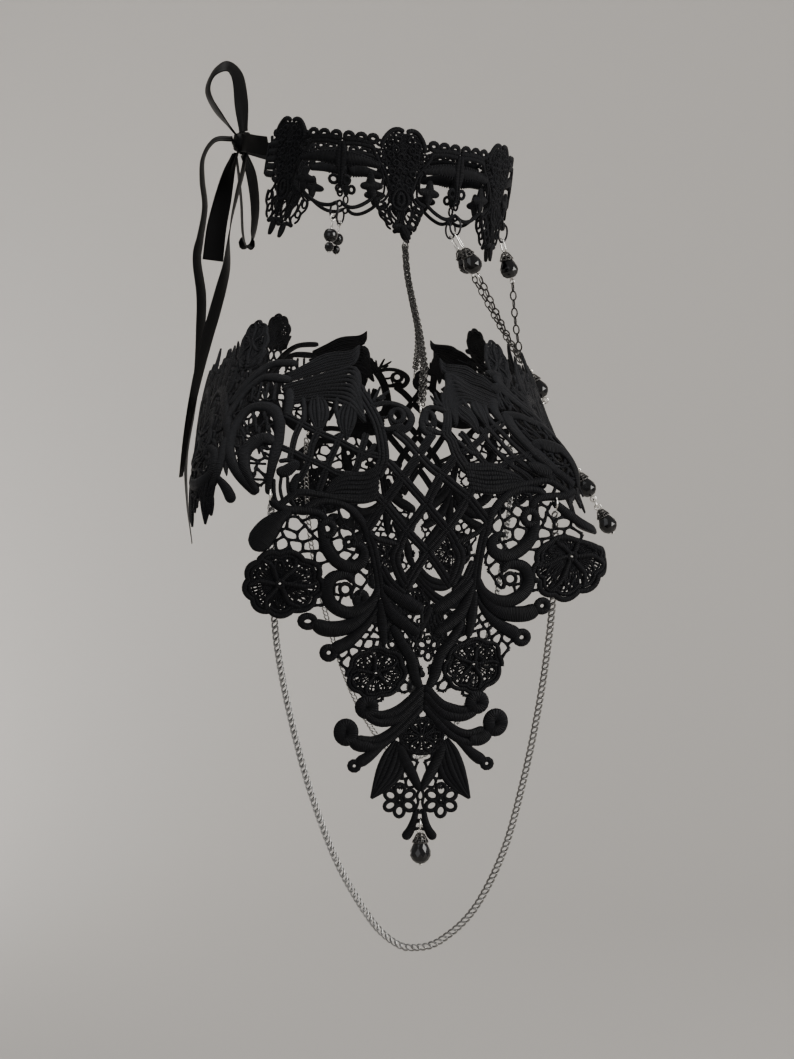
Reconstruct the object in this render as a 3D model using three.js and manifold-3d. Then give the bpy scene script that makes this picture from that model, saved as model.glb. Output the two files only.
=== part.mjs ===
// Black guipure lace choker with shoulder lace, chains, glass drops and a satin ribbon tie.
// Millimetres, +Z up, the wearer faces -Y and the wearer's right is -X.
// The origin is the middle of the choker on the neck's axis.
import * as THREE from 'three';
import { TessellateModifier } from 'three/addons/modifiers/TessellateModifier.js';
import { mergeVertices } from 'three/addons/utils/BufferGeometryUtils.js';
import Module from 'manifold-3d';

const wasm = await Module();
wasm.setup();

// Driving dimensions
const LACE_THICKNESS = 1.6;
const ARC_TURN = 56;
const RIBBON_THICKNESS = 1.0;
const CHAIN_RADIUS = 1.1;
const CHAIN_STEP = 6.6;
const CHAIN_SIDES = 8;

// Neck inside the choker: half width, half depth, lean towards the front and slope of the band
const NECK_HALF_WIDTH = 53;
const NECK_HALF_DEPTH = 57.5;
const NECK_TAPER = 0.0006;
const NECK_LEAN = 0.157;
const NECK_BACK_SHIFT = 1.5;
const BAND_SLOPE = 0.12;
const BAND_RADIUS = 55;

// Choker lace: medallions at every period, windows between them, open at the back
const PERIOD = 50.9;
const BAND_END = 142;
const MEDALLION_PLACES = [-2.5, -1.5, -0.5, 0.5, 1.5, 2.5];
const WINDOW_PLACES = [-2, -1, 0, 1, 2];

// Body under the shoulder lace, one row for each level
const SHOULDER_Y = -16;
const BODY_LEVELS = [
  { z: -20, halfWidth: 50, front: -46, back: 58 },
  { z: -40, halfWidth: 55, front: -50, back: 62 },
  { z: -60, halfWidth: 85, front: -58, back: 70 },
  { z: -75, halfWidth: 120, front: -63, back: 74 },
  { z: -90, halfWidth: 152, front: -68, back: 78 },
  { z: -105, halfWidth: 168, front: -73, back: 81 },
  { z: -125, halfWidth: 175, front: -83, back: 83 },
  { z: -150, halfWidth: 176, front: -95, back: 84 },
  { z: -200, halfWidth: 172, front: -95, back: 84 },
  { z: -310, halfWidth: 166, front: -95, back: 84 },
];
const LEVEL_SMOOTHING = [-9, -4.5, 0, 4.5, 9];
// A quarter of the body's level section, as tangent arcs from the side round to the middle
const SECTION_ARCS = [
  { radius: 130, turn: 17.6 },
  { radius: 45, turn: 60 },
  { radius: 585, turn: 12.4 },
];
// Longest triangle edge that is left straight when the lace is bent
const LACE_LONGEST = { shoulder: 24, choker: 22 };
const LACE_SPLITS = 8;
// Below the shoulder the lobe hangs almost flat
const LOBE = { radius: 350, fullZ: -118, startZ: -86 };
const LOBE_REACH = {
  back: { lowInner: 75, highInner: 75, outer: 115 },
  front: { lowInner: 68, highInner: 54, outer: 86 },
};
const LOBE_REACH_Z = { low: -150, high: -125 };

// Half outline of one shoulder piece, in mm along the body from its own axis (across) and height (z).
// A row with a radius is a round end that turns about its centre from one angle to the other.
const LACE_OUTLINE = [
  { across: 0, z: -251.8 },
  { across: 2.6, z: -253.6 },
  { across: 3.9, z: -258 },
  { across: 6.9, z: -258 },
  { across: 4.5, z: -250 },
  { across: 7.5, z: -241.5, radius: 7.3, from: -95, to: -10 },
  { across: 17.5, z: -240.5 },
  { across: 20.5, z: -231 },
  { across: 24.5, z: -227.5, radius: 2.6, from: -110, to: 60 },
  { across: 20.5, z: -221 },
  { across: 26.5, z: -213, radius: 4.6, from: -110, to: 90 },
  { across: 21.5, z: -207.5 },
  { across: 20, z: -203.5, radius: 3.4, from: -50, to: 60 },
  { across: 18.5, z: -190, radius: 10, from: -60, to: 70 },
  { across: 27, z: -182.5 },
  { across: 37, z: -182, radius: 3.5, from: -120, to: 60 },
  { across: 34, z: -176 },
  { across: 44.5, z: -170.5, radius: 3.2, from: -120, to: 60 },
  { across: 46.4, z: -166 },
  { across: 53.5, z: -158.5, radius: 12.8, from: -110, to: 65 },
  { across: 54, z: -146.3 },
  { across: 59, z: -141.5, radius: 4.5, from: -70, to: 110 },
  { across: 47.5, z: -131.5 },
  { across: 50, z: -127.5 },
  { across: 58, z: -123.5 },
  { across: 69, z: -113.5 },
  { across: 73, z: -115 },
  { across: 79, z: -132 },
  { across: 84, z: -137 },
  { across: 90, z: -133 },
  { across: 104, z: -145 },
  { across: 114, z: -138 },
  { across: 128, z: -141 },
  { across: 142, z: -132 },
  { across: 160, z: -137 },
  { across: 178, z: -129 },
  { across: 196, z: -133 },
  { across: 213.6, z: -133.5 },
  { across: 213.6, z: -98.4 },
  { across: 205, z: -96.2 },
  { across: 196, z: -92 },
  { across: 182, z: -95 },
  { across: 162, z: -80 },
  { across: 146, z: -84 },
  { across: 132, z: -72 },
  { across: 119, z: -76 },
  { across: 108, z: -64.5 },
  { across: 97, z: -71 },
  { across: 77, z: -68.5, radius: 10, from: 20, to: 190 },
  { across: 63, z: -77.5 },
  { across: 50, z: -77.5, radius: 4, from: 50, to: 170 },
  { across: 40, z: -75 },
  { across: 30, z: -72.5 },
  { across: 21.5, z: -69.5 },
  { across: 22, z: -78 },
  { across: 19.5, z: -84.5 },
  { across: 15, z: -84 },
  { across: 12, z: -88 },
  { across: 0, z: -92.5 },
];
// Openings of one half, repeated on the other: size across and along, number of sides and turn
const LACE_OPENINGS = [
  { across: 7, z: -127, wide: 10, high: 14, sides: 4, turn: 0 },
  { across: 14.5, z: -137, wide: 9, high: 13, sides: 4, turn: 0 },
  { across: 14, z: -116.5, wide: 9, high: 12, sides: 4, turn: 0 },
  { across: 7, z: -147, wide: 7, high: 10, sides: 4, turn: 0 },
  { across: 10, z: -101.5, wide: 9, high: 8, sides: 4, turn: 0 },
  { across: 26, z: -103, wide: 9, high: 9, sides: 4, turn: 41 },
  { across: 38, z: -103.5, wide: 10, high: 12, sides: 4, turn: 41 },
  { across: 47, z: -98, wide: 7, high: 11, sides: 4, turn: 41 },
  { across: 30.5, z: -112.5, wide: 10, high: 9, sides: 4, turn: 41 },
  { across: 41, z: -114.5, wide: 8, high: 8, sides: 4, turn: 41 },
  { across: 58, z: -98, wide: 7, high: 6, sides: 4, turn: 0 },
  { across: 56, z: -112, wide: 7, high: 9, sides: 4, turn: 0 },
  { across: 31, z: -128, wide: 9, high: 6, sides: 4, turn: 0 },
  { across: 37.5, z: -138, wide: 7, high: 9, sides: 4, turn: 0 },
  { across: 25, z: -141, wide: 7, high: 8, sides: 4, turn: 0 },
  { across: 38, z: -150, wide: 6, high: 7, sides: 4, turn: 0 },
  { across: 30, z: -160, wide: 6, high: 7, sides: 4, turn: 0 },
  { across: 12, z: -184, wide: 6, high: 8, sides: 4, turn: 0 },
  { across: 8, z: -205, wide: 6, high: 8, sides: 4, turn: 0 },
  { across: 13, z: -224, wide: 5, high: 7, sides: 4, turn: 0 },
  { across: 92, z: -84, wide: 8, high: 11, sides: 4, turn: 0 },
  { across: 104, z: -98, wide: 9, high: 13, sides: 4, turn: 0 },
  { across: 94, z: -115, wide: 9, high: 14, sides: 4, turn: 0 },
  { across: 122, z: -112, wide: 10, high: 15, sides: 4, turn: 0 },
  { across: 138, z: -96, wide: 10, high: 12, sides: 4, turn: 0 },
  { across: 152, z: -115, wide: 11, high: 14, sides: 4, turn: 0 },
  { across: 172, z: -106, wide: 10, high: 13, sides: 4, turn: 0 },
  { across: 190, z: -112, wide: 10, high: 14, sides: 4, turn: 0 },
  { across: 210.1, z: -100.9, wide: 4, high: 4.8, sides: 4, turn: 0 },
  { across: 210.1, z: -130, wide: 4, high: 4.6, sides: 4, turn: 0 },
];
// Openings on the axis, and the holes of the rings that hang from one edge
const LACE_AXIS_OPENINGS = [
  { across: 0, z: -117, wide: 9.5, high: 13, sides: 4, turn: 0 },
  { across: 0, z: -137, wide: 10, high: 14, sides: 4, turn: 0 },
  { across: 0, z: -158, wide: 14, high: 15, sides: 4, turn: 0 },
  { across: 0, z: -94.7, wide: 3.6, high: 2.6, sides: 4, turn: 0 },
  { across: 0, z: -249.3, wide: 3, high: 3, sides: 4, turn: 0 },
];
const SWAG_ENDS = [
  { name: 'back', across: -57, z: -124, holeZ: -121.4 },
  { name: 'front', across: 51.5, z: -127, holeZ: -124.4 },
];

// Choker edges of half a period, from a medallion's middle to a window's middle
const CHOKER_TOP = [
  { along: 0, height: 19.3 },
  { along: 2.8, height: 20.8 },
  { along: 4.8, height: 19.6 },
  { along: 6.5, height: 16.8 },
  { along: 9.2, height: 15.2 },
  { along: 11.5, height: 12.8 },
  { along: 14.5, height: 14 },
  { along: 17.3, height: 16.8 },
  { along: 20, height: 15 },
  { along: 22.7, height: 17.4 },
  { along: 25.45, height: 15.2 },
];
const CHOKER_BOTTOM = [
  { along: 0, height: -28.5 },
  { along: 2, height: -26.5 },
  { along: 3.6, height: -22.4 },
  { along: 6.6, height: -21 },
  { along: 8.3, height: -17 },
  { along: 8, height: -12.5 },
  { along: 12.5, height: -12.4 },
  { along: 18.5, height: -11.6 },
  { along: 22, height: -14 },
  { along: 25.45, height: -14.4 },
];
const MEDALLION_OPENINGS = [
  { along: 0, height: -8, wide: 4.6, high: 9, sides: 4, turn: 0 },
  { along: 0, height: -24.2, wide: 2.6, high: 3.4, sides: 4, turn: 0 },
];
const WINDOW_OPENINGS = [
  { along: -6.4, height: -5, wide: 9, high: 12, sides: 6, turn: 0 },
  { along: 6.4, height: -5, wide: 9, high: 12, sides: 6, turn: 0 },
  { along: -14.2, height: -4.6, wide: 5, high: 10, sides: 6, turn: 0 },
  { along: 14.2, height: -4.6, wide: 5, high: 10, sides: 6, turn: 0 },
  { along: -6.4, height: 10, wide: 10, high: 3.6, sides: 4, turn: 0 },
  { along: 6.4, height: 10, wide: 10, high: 3.6, sides: 4, turn: 0 },
  { along: 0, height: -11.3, wide: 4.6, high: 4.6, sides: 4, turn: 45 },
];

// Rings: middle radius and wire radius; the oval ring has its own half height
const OVAL_RING = { halfWidth: 2.4, halfHeight: 3.5, wire: 0.45, height: -15, turn: 35, loopRise: 0.25 };
const RING_HOLD = 3.3;
const RING_LEAN = 0.4;
const SMALL_RING = { radius: 2.2, wire: 0.4 };
const JOIN_RING = { radius: 3.6, wire: 0.45 };
const RING_STEPS = 8;
const WIRE_SIDES = 4;

// A drop along its own axis, measured down from the middle of its upper loop
const LOOP = { radius: 1.42, wire: 0.35, steps: 8 };
const PIN_RADIUS = 0.5;
const PIN_SIDES = 5;
const CAP_SIDES = 6;
const CAP_PROFILE = [
  { r: 0, s: 1.1 },
  { r: 1.6, s: 1.4 },
  { r: 3.4, s: 5.1 },
  { r: 3.1, s: 5.4 },
  { r: 2.75, s: 5.2 },
  { r: 1.3, s: 2.5 },
  { r: 0, s: 2.5 },
];
const BEAD_PROFILE = [
  { r: 0.9, s: 3.5 },
  { r: 1.2, s: 3.5 },
  { r: 2.1, s: 5.3 },
  { r: 3.9, s: 7.9 },
  { r: 4.2, s: 9.9 },
  { r: 3.3, s: 12.1 },
  { r: 1.5, s: 13.2 },
  { r: 0.9, s: 13.2 },
];
const BEAD_SIDES = 8;
const DROP_LENGTH = 15.1;
const LONG_EYE = 3.6;
const PIN_END = { hidden: 13.9, ballRadius: 0.75, ball: 14.3 };

// Small drop of the side windows: head pin with its end bead, and the round bead on it
const SMALL_DROP = { beadRadius: 3, bore: 0.85, bead: 5.2, endRadius: 2, end: 10.6, loop: 1.1 };

// Front chains run down the neck to the ring on the chest
const CHEST_RING_CENTER = new THREE.Vector3(0, -66.3, -82.8);
const FRONT_DROP_AIM = new THREE.Vector3(-37.6, -43.6, -43);
const SIDE_CHAIN_ROUTE = [
  [-36.6, -45.2, -46.2],
  [-29, -49.8, -55],
  [-20, -54.5, -64],
  [-11, -59.5, -73],
  [-4.2, -63.8, -80.2],
];
const CENTER_CHAIN_ROUTE = [
  [0, -61.4, -48.6],
  [0, -60.2, -55],
  [0, -61.4, -66],
  [0, -63.5, -78.8],
];
const CHEST_DIRECTION = new THREE.Vector3(0, -0.49, -0.872);
const STERNUM_DIRECTION = new THREE.Vector3(0, -0.5, -0.866);
const STERNUM_RING_Z = -130;
const CHEST_LACE_RING = { z: -100.2, tilt: 40 };

// Shoulder chains, two strands from a medallion's tip to the ring in the lace notch
const SHOULDER_STRANDS = [
  {
    name: 'a',
    route: [
      [-53.4, -10.6, -33], [-60, -11.6, -42], [-74, -14.2, -54.5], [-98, -17, -68], [-124, -18.4, -79],
      [-146.5, -17.4, -88],
    ],
  },
  {
    name: 'b',
    route: [
      [-55.4, -8.2, -31], [-63.5, -9.4, -41.5], [-78, -11, -53], [-101, -12.6, -66],
      [-126, -13.6, -77.6], [-147.5, -14.6, -87],
    ],
  },
];
const NOTCH_RING = { z: -93, radius: 2.4, wire: 0.4 };

// Swag chain under each lobe, from the back ring to the front ring
const SWAG_ROUTE = [
  [-162.6, 41.4, -127.8],
  [-160.6, 41.6, -140],
  [-161.5, 41.2, -158],
  [-163.6, 39.6, -182],
  [-164.6, 35, -208],
  [-165.4, 27.4, -238],
  [-166, 16.6, -268],
  [-166.4, 3.6, -291],
  [-166.6, -6, -300.5],
  [-166.8, -14, -302.5],
  [-167, -24, -299.5],
  [-167, -37, -287],
  [-166.6, -48.4, -264],
  [-166, -56, -236],
  [-165.4, -61.6, -208],
  [-164.4, -65.4, -182],
  [-161.4, -67.6, -160],
  [-160.2, -68.2, -144],
  [-164.4, -67.4, -131],
];

// Satin ribbon at the back: route and width direction of each piece
const KNOT = { center: [0, 62.5, 18.5], half: [6.5, 5, 5.2] };
const RIBBON_PIECES = [
  {
    name: 'ribbon_loop_upper',
    width: 9.5,
    steps: 20,
    route: [
      [-2.2, 66.8, 23.6], [-6, 73, 31], [-10, 77.4, 40], [-12, 75, 48], [-11, 68.6, 51.6],
      [-8, 64, 47], [-4.6, 62.6, 36], [-1.6, 62, 25],
    ],
    across: [
      [1, 0.3, 0.3], [1, 0.5, 0], [1, 0.4, 0.2], [1, 0, 0.2], [1, 0, 0], [1, -0.2, 0.2],
      [1, -0.4, 0.2], [1, -0.3, 0],
    ],
  },
  {
    name: 'ribbon_loop_lower',
    width: 9.5,
    steps: 20,
    route: [
      [5.4, 62.4, 12.6], [7, 59, 4], [9, 57.6, -10], [9.5, 58.8, -22], [6, 61.6, -27],
      [2.5, 63.4, -22], [2.4, 64, -8], [3.6, 65.2, 5], [3.7, 66.6, 12.4],
    ],
    across: [
      [1, -0.5, 0], [1, -0.5, 0], [1, -0.4, 0], [1, -0.2, 0], [1, 0, 0], [1, 0.2, 0], [1, 0.2, 0],
      [1, 0.2, 0], [1, 0.2, 0],
    ],
  },
  {
    name: 'ribbon_tail_short',
    width: 10,
    steps: 10,
    route: [[-3.4, 66, 13], [-5.8, 68.2, 6], [-8, 71.4, -8], [-9.5, 74, -20], [-9.5, 75.8, -34]],
    across: [[1, 0.6, 0], [1, 0.8, 0], [0.6, 1, 0], [0.4, 1, 0], [0.3, 1, 0]],
  },
  {
    name: 'ribbon_tail_outer',
    width: 10,
    steps: 28,
    route: [
      [-1, 68, 20.5], [-2, 75, 19.5], [-3, 80, 12], [-3, 80.6, 2], [-2, 79.6, -10], [0, 82, -24],
      [4, 84, -34],
      [6, 82.4, -50], [6.5, 83, -66], [6.5, 84.4, -84], [6.5, 87.4, -104], [6.5, 90.3, -124],
      [6.5, 90, -146], [6.5, 88.2, -164],
    ],
    across: [
      [1, 0, 0.4], [1, 0.2, 0.3], [1, 0.5, 0], [1, 0.6, 0], [1, 0.5, 0], [1, 0.3, 0], [1, 0.2, 0],
      [1, 0.2, 0], [1, 0.1, 0], [1, 0, 0], [1, 0, 0], [1, 0, 0], [1, 0, 0], [1, 0, 0],
    ],
  },
  {
    name: 'ribbon_tail_inner',
    width: 10,
    steps: 20,
    route: [
      [-3.6, 61.2, 12.4], [-6.6, 62.2, 5], [-8.4, 64.4, -4], [-8.6, 68, -20], [-7.5, 69.6, -36],
      [-7.5, 72, -46], [-6.5, 75.5, -58],
      [-6, 79.6, -72], [-6, 84.6, -92], [-6, 88.6, -112], [-6, 91.4, -132],
    ],
    across: [
      [1, 0.3, 0], [1, 0.3, 0], [1, 0.3, 0], [1, 0.3, 0], [1, 0, 0], [1, -0.2, 0], [1, -0.1, 0],
      [1, 0, 0], [1, 0, 0], [1, 0, 0], [1, 0, 0],
    ],
  },
];
const RIBBON_BAND = {
  route: [[-28.6, 49.6, 15.6], [-22, 55, 16.6], [-14.5, 59.6, 17.8], [-7.6, 62.4, 18.4]],
  across: [[0, 0.15, 1], [0, 0.1, 1], [0, 0, 1], [0, 0, 1]],
  width: 8,
  steps: 8,
};

const lace = new THREE.MeshStandardMaterial({ color: 0x101014, roughness: 0.85, metalness: 0 });
const satin = new THREE.MeshStandardMaterial({ color: 0x0c0c0e, roughness: 0.45, metalness: 0 });
const gunmetal = new THREE.MeshStandardMaterial({ color: 0x4a4a4c, roughness: 0.35, metalness: 1 });
const silver = new THREE.MeshStandardMaterial({ color: 0xb9b8b4, roughness: 0.3, metalness: 1 });
const blackWire = new THREE.MeshStandardMaterial({ color: 0x1c1c1e, roughness: 0.35, metalness: 1 });
const glass = new THREE.MeshStandardMaterial({ color: 0x060608, roughness: 0.05, metalness: 0 });

const part = new THREE.Group();

function addPiece(name, geometry, material) {
  const piece = new THREE.Mesh(geometry, material);
  piece.name = name;
  part.add(piece);
}

// Column of the body table at a height, averaged over a few nearby heights so that it has no creases
function bodySize(column, z) {
  let sum = 0;
  for (const offset of LEVEL_SMOOTHING) {
    const height = THREE.MathUtils.clamp(z + offset, BODY_LEVELS.at(-1).z, BODY_LEVELS[0].z);
    const below = BODY_LEVELS.findIndex((level) => level.z <= height);
    const lower = BODY_LEVELS[Math.max(below, 1)];
    const upper = BODY_LEVELS[Math.max(below, 1) - 1];
    sum += THREE.MathUtils.mapLinear(height, upper.z, lower.z, upper[column], lower[column]);
  }
  return sum / LEVEL_SMOOTHING.length;
}

// Point on a quarter section after a given length: how far in from the side, and how far forward
function alongSection(length) {
  let angle = 0;
  let inward = 0;
  let forward = 0;
  let left = length;
  for (const arc of SECTION_ARCS) {
    const step = Math.min(left, arc.radius * THREE.MathUtils.degToRad(arc.turn));
    const next = angle + step / arc.radius;
    inward += arc.radius * (Math.cos(angle) - Math.cos(next));
    forward += arc.radius * (Math.sin(next) - Math.sin(angle));
    angle = next;
    left -= step;
  }
  return { inward, forward };
}

const QUARTER = alongSection(Infinity);

// Right shoulder: across runs round the body, positive to the front
function shoulderPoint(across, z) {
  const reach = Math.abs(across);
  const side = across < 0 ? 'back' : 'front';
  const halfWidth = bodySize('halfWidth', z);
  const depth = bodySize(side, z) - SHOULDER_Y;
  const section = alongSection(reach);
  const wrapped = new THREE.Vector3(
    -halfWidth * (1 - section.inward / QUARTER.inward),
    SHOULDER_Y + (depth * section.forward) / QUARTER.forward,
    z,
  );
  const swing = reach / LOBE.radius;
  const hanging = new THREE.Vector3(
    -halfWidth + LOBE.radius * (1 - Math.cos(swing)),
    SHOULDER_Y + Math.sign(depth) * LOBE.radius * Math.sin(swing),
    z,
  );
  const lowered = 1 - THREE.MathUtils.smoothstep(z, LOBE.fullZ, LOBE.startZ);
  const lobe = LOBE_REACH[side];
  const height = THREE.MathUtils.smoothstep(z, LOBE_REACH_Z.low, LOBE_REACH_Z.high);
  const inner = THREE.MathUtils.lerp(lobe.lowInner, lobe.highInner, height);
  const near = 1 - THREE.MathUtils.smoothstep(reach, inner, lobe.outer);
  return wrapped.lerp(hanging, lowered * near);
}

// Choker band: along runs round the neck from the front middle, positive to the wearer's left
function chokerPoint(along, height) {
  const angle = along / BAND_RADIUS;
  const grow = 1 - NECK_TAPER * height;
  const depth = -NECK_HALF_DEPTH * Math.cos(angle);
  return new THREE.Vector3(
    NECK_HALF_WIDTH * grow * Math.sin(angle),
    depth * grow - NECK_LEAN * height + NECK_BACK_SHIFT,
    height + BAND_SLOPE * depth,
  );
}

// Unit directions on a surface: along it, up it and out of it
function frameOn(surface, across, height) {
  const step = 0.5;
  const along = surface(across + step, height).sub(surface(across - step, height)).normalize();
  const up = surface(across, height + step).sub(surface(across, height - step)).normalize();
  const out = along.clone().cross(up).normalize();
  return { along, up, out };
}

// Point at a given depth through the lace, 0 on the body and 1 on the outer face
function onLace(surface, across, height, depth) {
  const { out } = frameOn(surface, across, height);
  return surface(across, height).addScaledVector(out, LACE_THICKNESS * depth);
}

function toSolid(geometry) {
  geometry.deleteAttribute('normal');
  geometry.deleteAttribute('uv');
  return mergeVertices(geometry);
}

function asManifold(geometry) {
  const position = geometry.getAttribute('position');
  return new wasm.Manifold(
    new wasm.Mesh({
      numProp: 3,
      vertProperties: new Float32Array(position.array),
      triVerts: new Uint32Array(geometry.getIndex().array),
    }),
  );
}

function toGeometry(solid) {
  const mesh = solid.getMesh();
  const geometry = new THREE.BufferGeometry();
  geometry.setAttribute('position', new THREE.BufferAttribute(mesh.vertProperties, 3));
  geometry.setIndex(new THREE.BufferAttribute(mesh.triVerts, 1));
  return geometry;
}

function joined(geometries) {
  return toGeometry(geometries.map((geometry) => asManifold(geometry)).reduce((all, next) => all.add(next)));
}

function mirrored(geometry) {
  const copy = geometry.clone().scale(-1, 1, 1);
  const index = copy.getIndex();
  for (let i = 0; i < index.count; i += 3) {
    const swap = index.getX(i);
    index.setX(i, index.getX(i + 1));
    index.setX(i + 1, swap);
  }
  return copy;
}

function bend(geometry, surface) {
  const place = geometry.getAttribute('position');
  for (let i = 0; i < place.count; i++) {
    const { out } = frameOn(surface, place.getX(i), place.getY(i));
    const point = surface(place.getX(i), place.getY(i)).addScaledVector(out, place.getZ(i));
    place.setXYZ(i, point.x, point.y, point.z);
  }
  return geometry;
}

// Flat sheet of lace with its outline and openings
function flatLace(outline, openings) {
  const shape = new THREE.Shape(outline);
  shape.holes = openings.map((points) => new THREE.Path(points));
  return toSolid(new THREE.ExtrudeGeometry(shape, { depth: LACE_THICKNESS, bevelEnabled: false }));
}

// Lays a flat sheet on a surface, with its long triangles split first
function bentLace(sheet, surface, longest) {
  const split = new TessellateModifier(longest, LACE_SPLITS).modify(sheet.toNonIndexed());
  return bend(toSolid(split), surface);
}

function openingPoints(x, y, wide, high, sides, turn) {
  const points = [];
  for (let i = 0; i < sides; i++) {
    const angle = (2 * Math.PI * i) / sides;
    const point = new THREE.Vector2((Math.cos(angle) * wide) / 2, (Math.sin(angle) * high) / 2);
    point.rotateAround(new THREE.Vector2(), THREE.MathUtils.degToRad(turn));
    points.push(point.add(new THREE.Vector2(x, y)));
  }
  return points;
}

// Shoulder lace
function halfOutline() {
  const points = [];
  for (const row of LACE_OUTLINE) {
    if (row.radius === undefined) {
      points.push(new THREE.Vector2(row.across, row.z));
      continue;
    }
    const steps = Math.max(2, Math.round((row.to - row.from) / ARC_TURN));
    for (let i = 0; i <= steps; i++) {
      const angle = THREE.MathUtils.degToRad(row.from + ((row.to - row.from) * i) / steps);
      const point = new THREE.Vector2(Math.cos(angle), Math.sin(angle)).multiplyScalar(row.radius);
      points.push(point.add(new THREE.Vector2(row.across, row.z)));
    }
  }
  return points;
}

function shoulderLace() {
  const half = halfOutline();
  const otherHalf = half.slice(1, -1).reverse().map((point) => new THREE.Vector2(-point.x, point.y));
  const openings = LACE_AXIS_OPENINGS.map((row) =>
    openingPoints(row.across, row.z, row.wide, row.high, row.sides, row.turn),
  );
  for (const row of LACE_OPENINGS) {
    for (const side of [1, -1]) {
      openings.push(openingPoints(side * row.across, row.z, row.wide, row.high, row.sides, side * row.turn));
    }
  }
  for (const end of SWAG_ENDS) {
    openings.push(openingPoints(end.across, end.holeZ, 3.8, 4, 4, 0));
  }
  return bentLace(flatLace([...half, ...otherHalf], openings), shoulderPoint, LACE_LONGEST.shoulder);
}

const rightLace = shoulderLace();
addPiece('shoulder_lace_right', rightLace, lace);
addPiece('shoulder_lace_left', mirrored(rightLace), lace);

// Choker lace
function chokerEdge(rows) {
  const points = [];
  for (const place of MEDALLION_PLACES) {
    const middle = place * PERIOD;
    for (const row of rows.slice(0, -1).reverse()) {
      points.push(new THREE.Vector2(middle - row.along, row.height));
    }
    for (const row of rows.slice(1)) {
      points.push(new THREE.Vector2(middle + row.along, row.height));
    }
  }
  return points.filter((point) => Math.abs(point.x) < BAND_END + 2.5);
}

function chokerLace() {
  const top = chokerEdge(CHOKER_TOP);
  const bottom = chokerEdge(CHOKER_BOTTOM);
  const outline = [...bottom, ...top.reverse()];
  const openings = [];
  for (const place of MEDALLION_PLACES) {
    for (const row of MEDALLION_OPENINGS) {
      const along = place * PERIOD + row.along;
      openings.push(openingPoints(along, row.height, row.wide, row.high, row.sides, row.turn));
    }
  }
  for (const place of WINDOW_PLACES) {
    for (const row of WINDOW_OPENINGS) {
      const along = place * PERIOD + row.along;
      openings.push(openingPoints(along, row.height, row.wide, row.high, row.sides, row.turn));
    }
  }
  return bentLace(flatLace(outline, openings), chokerPoint, LACE_LONGEST.choker);
}

addPiece('choker_lace', chokerLace(), lace);

// Small metal and glass work
function turned(geometry, xAxis, yAxis, zAxis, place) {
  const matrix = new THREE.Matrix4().makeBasis(xAxis, yAxis, zAxis).setPosition(place);
  return geometry.applyMatrix4(matrix);
}

function ring(radius, wire, axis, up, center, halfHeight = radius) {
  const geometry = toSolid(new THREE.TorusGeometry(radius, wire, WIRE_SIDES, RING_STEPS));
  const place = geometry.getAttribute('position');
  for (let i = 0; i < place.count; i++) {
    const rise = place.getY(i) / Math.hypot(place.getX(i), place.getY(i));
    place.setY(i, place.getY(i) + rise * (halfHeight - radius));
  }
  const zAxis = axis.clone().normalize();
  const xAxis = up.clone().cross(zAxis).normalize();
  return turned(geometry, xAxis, zAxis.clone().cross(xAxis), zAxis, center);
}

function smallRing(axis, up, center) {
  return ring(SMALL_RING.radius, SMALL_RING.wire, axis, up, center);
}

function ovalRing(axis, up, center) {
  return ring(OVAL_RING.halfWidth, OVAL_RING.wire, axis, up, center, OVAL_RING.halfHeight);
}

// A turned profile whose s runs down the drop's axis
function lathed(profile, sides) {
  const points = profile.map((row) => new THREE.Vector2(row.r, -row.s));
  return toSolid(new THREE.LatheGeometry(points.reverse(), sides)).rotateX(Math.PI / 2);
}

function closed(profile) {
  return [...profile, profile[0]];
}

const AXIS_X = new THREE.Vector3(1, 0, 0);
const AXIS_Y = new THREE.Vector3(0, 1, 0);
const AXIS_Z = new THREE.Vector3(0, 0, 1);

// Loop around the drop's x axis, at a distance s below the first one and longer by stretch
function dropLoop(radius, s, stretch = 0) {
  const torus = toSolid(new THREE.TorusGeometry(radius, LOOP.wire, WIRE_SIDES, LOOP.steps));
  torus.rotateY(Math.PI / 2);
  const place = torus.getAttribute('position');
  for (let i = 0; i < place.count; i++) {
    if (place.getZ(i) < -0.01) place.setZ(i, place.getZ(i) - stretch);
  }
  return torus.translate(0, 0, -s);
}

function dropPin(from, to, radius) {
  const pin = toSolid(new THREE.CylinderGeometry(radius, radius, to - from, PIN_SIDES));
  return pin.rotateX(Math.PI / 2).translate(0, 0, -(from + to) / 2);
}

function dropBall(radius, s) {
  return toSolid(new THREE.SphereGeometry(radius, 6, 4)).translate(0, 0, -s);
}

function dropFitting(hasLowerLoop, stretch = 0) {
  const pieces = [dropLoop(LOOP.radius, -stretch, stretch), lathed(CAP_PROFILE, CAP_SIDES)];
  if (hasLowerLoop) {
    pieces.push(dropPin(2, PIN_END.hidden, PIN_RADIUS), dropLoop(LOOP.radius, DROP_LENGTH));
  } else {
    pieces.push(dropPin(2, PIN_END.ball, PIN_RADIUS), dropBall(PIN_END.ballRadius, PIN_END.ball));
  }
  return joined(pieces);
}

// Places a drop with its upper loop's middle at a point; its axis runs down along the direction
function hangDrop(geometry, top, direction, loopAxis) {
  const zAxis = direction.clone().normalize().negate();
  const yAxis = zAxis.clone().cross(loopAxis).normalize();
  return turned(geometry, yAxis.clone().cross(zAxis), yAxis, zAxis, top);
}

function teardropBead() {
  return lathed(closed(BEAD_PROFILE), BEAD_SIDES);
}

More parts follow.
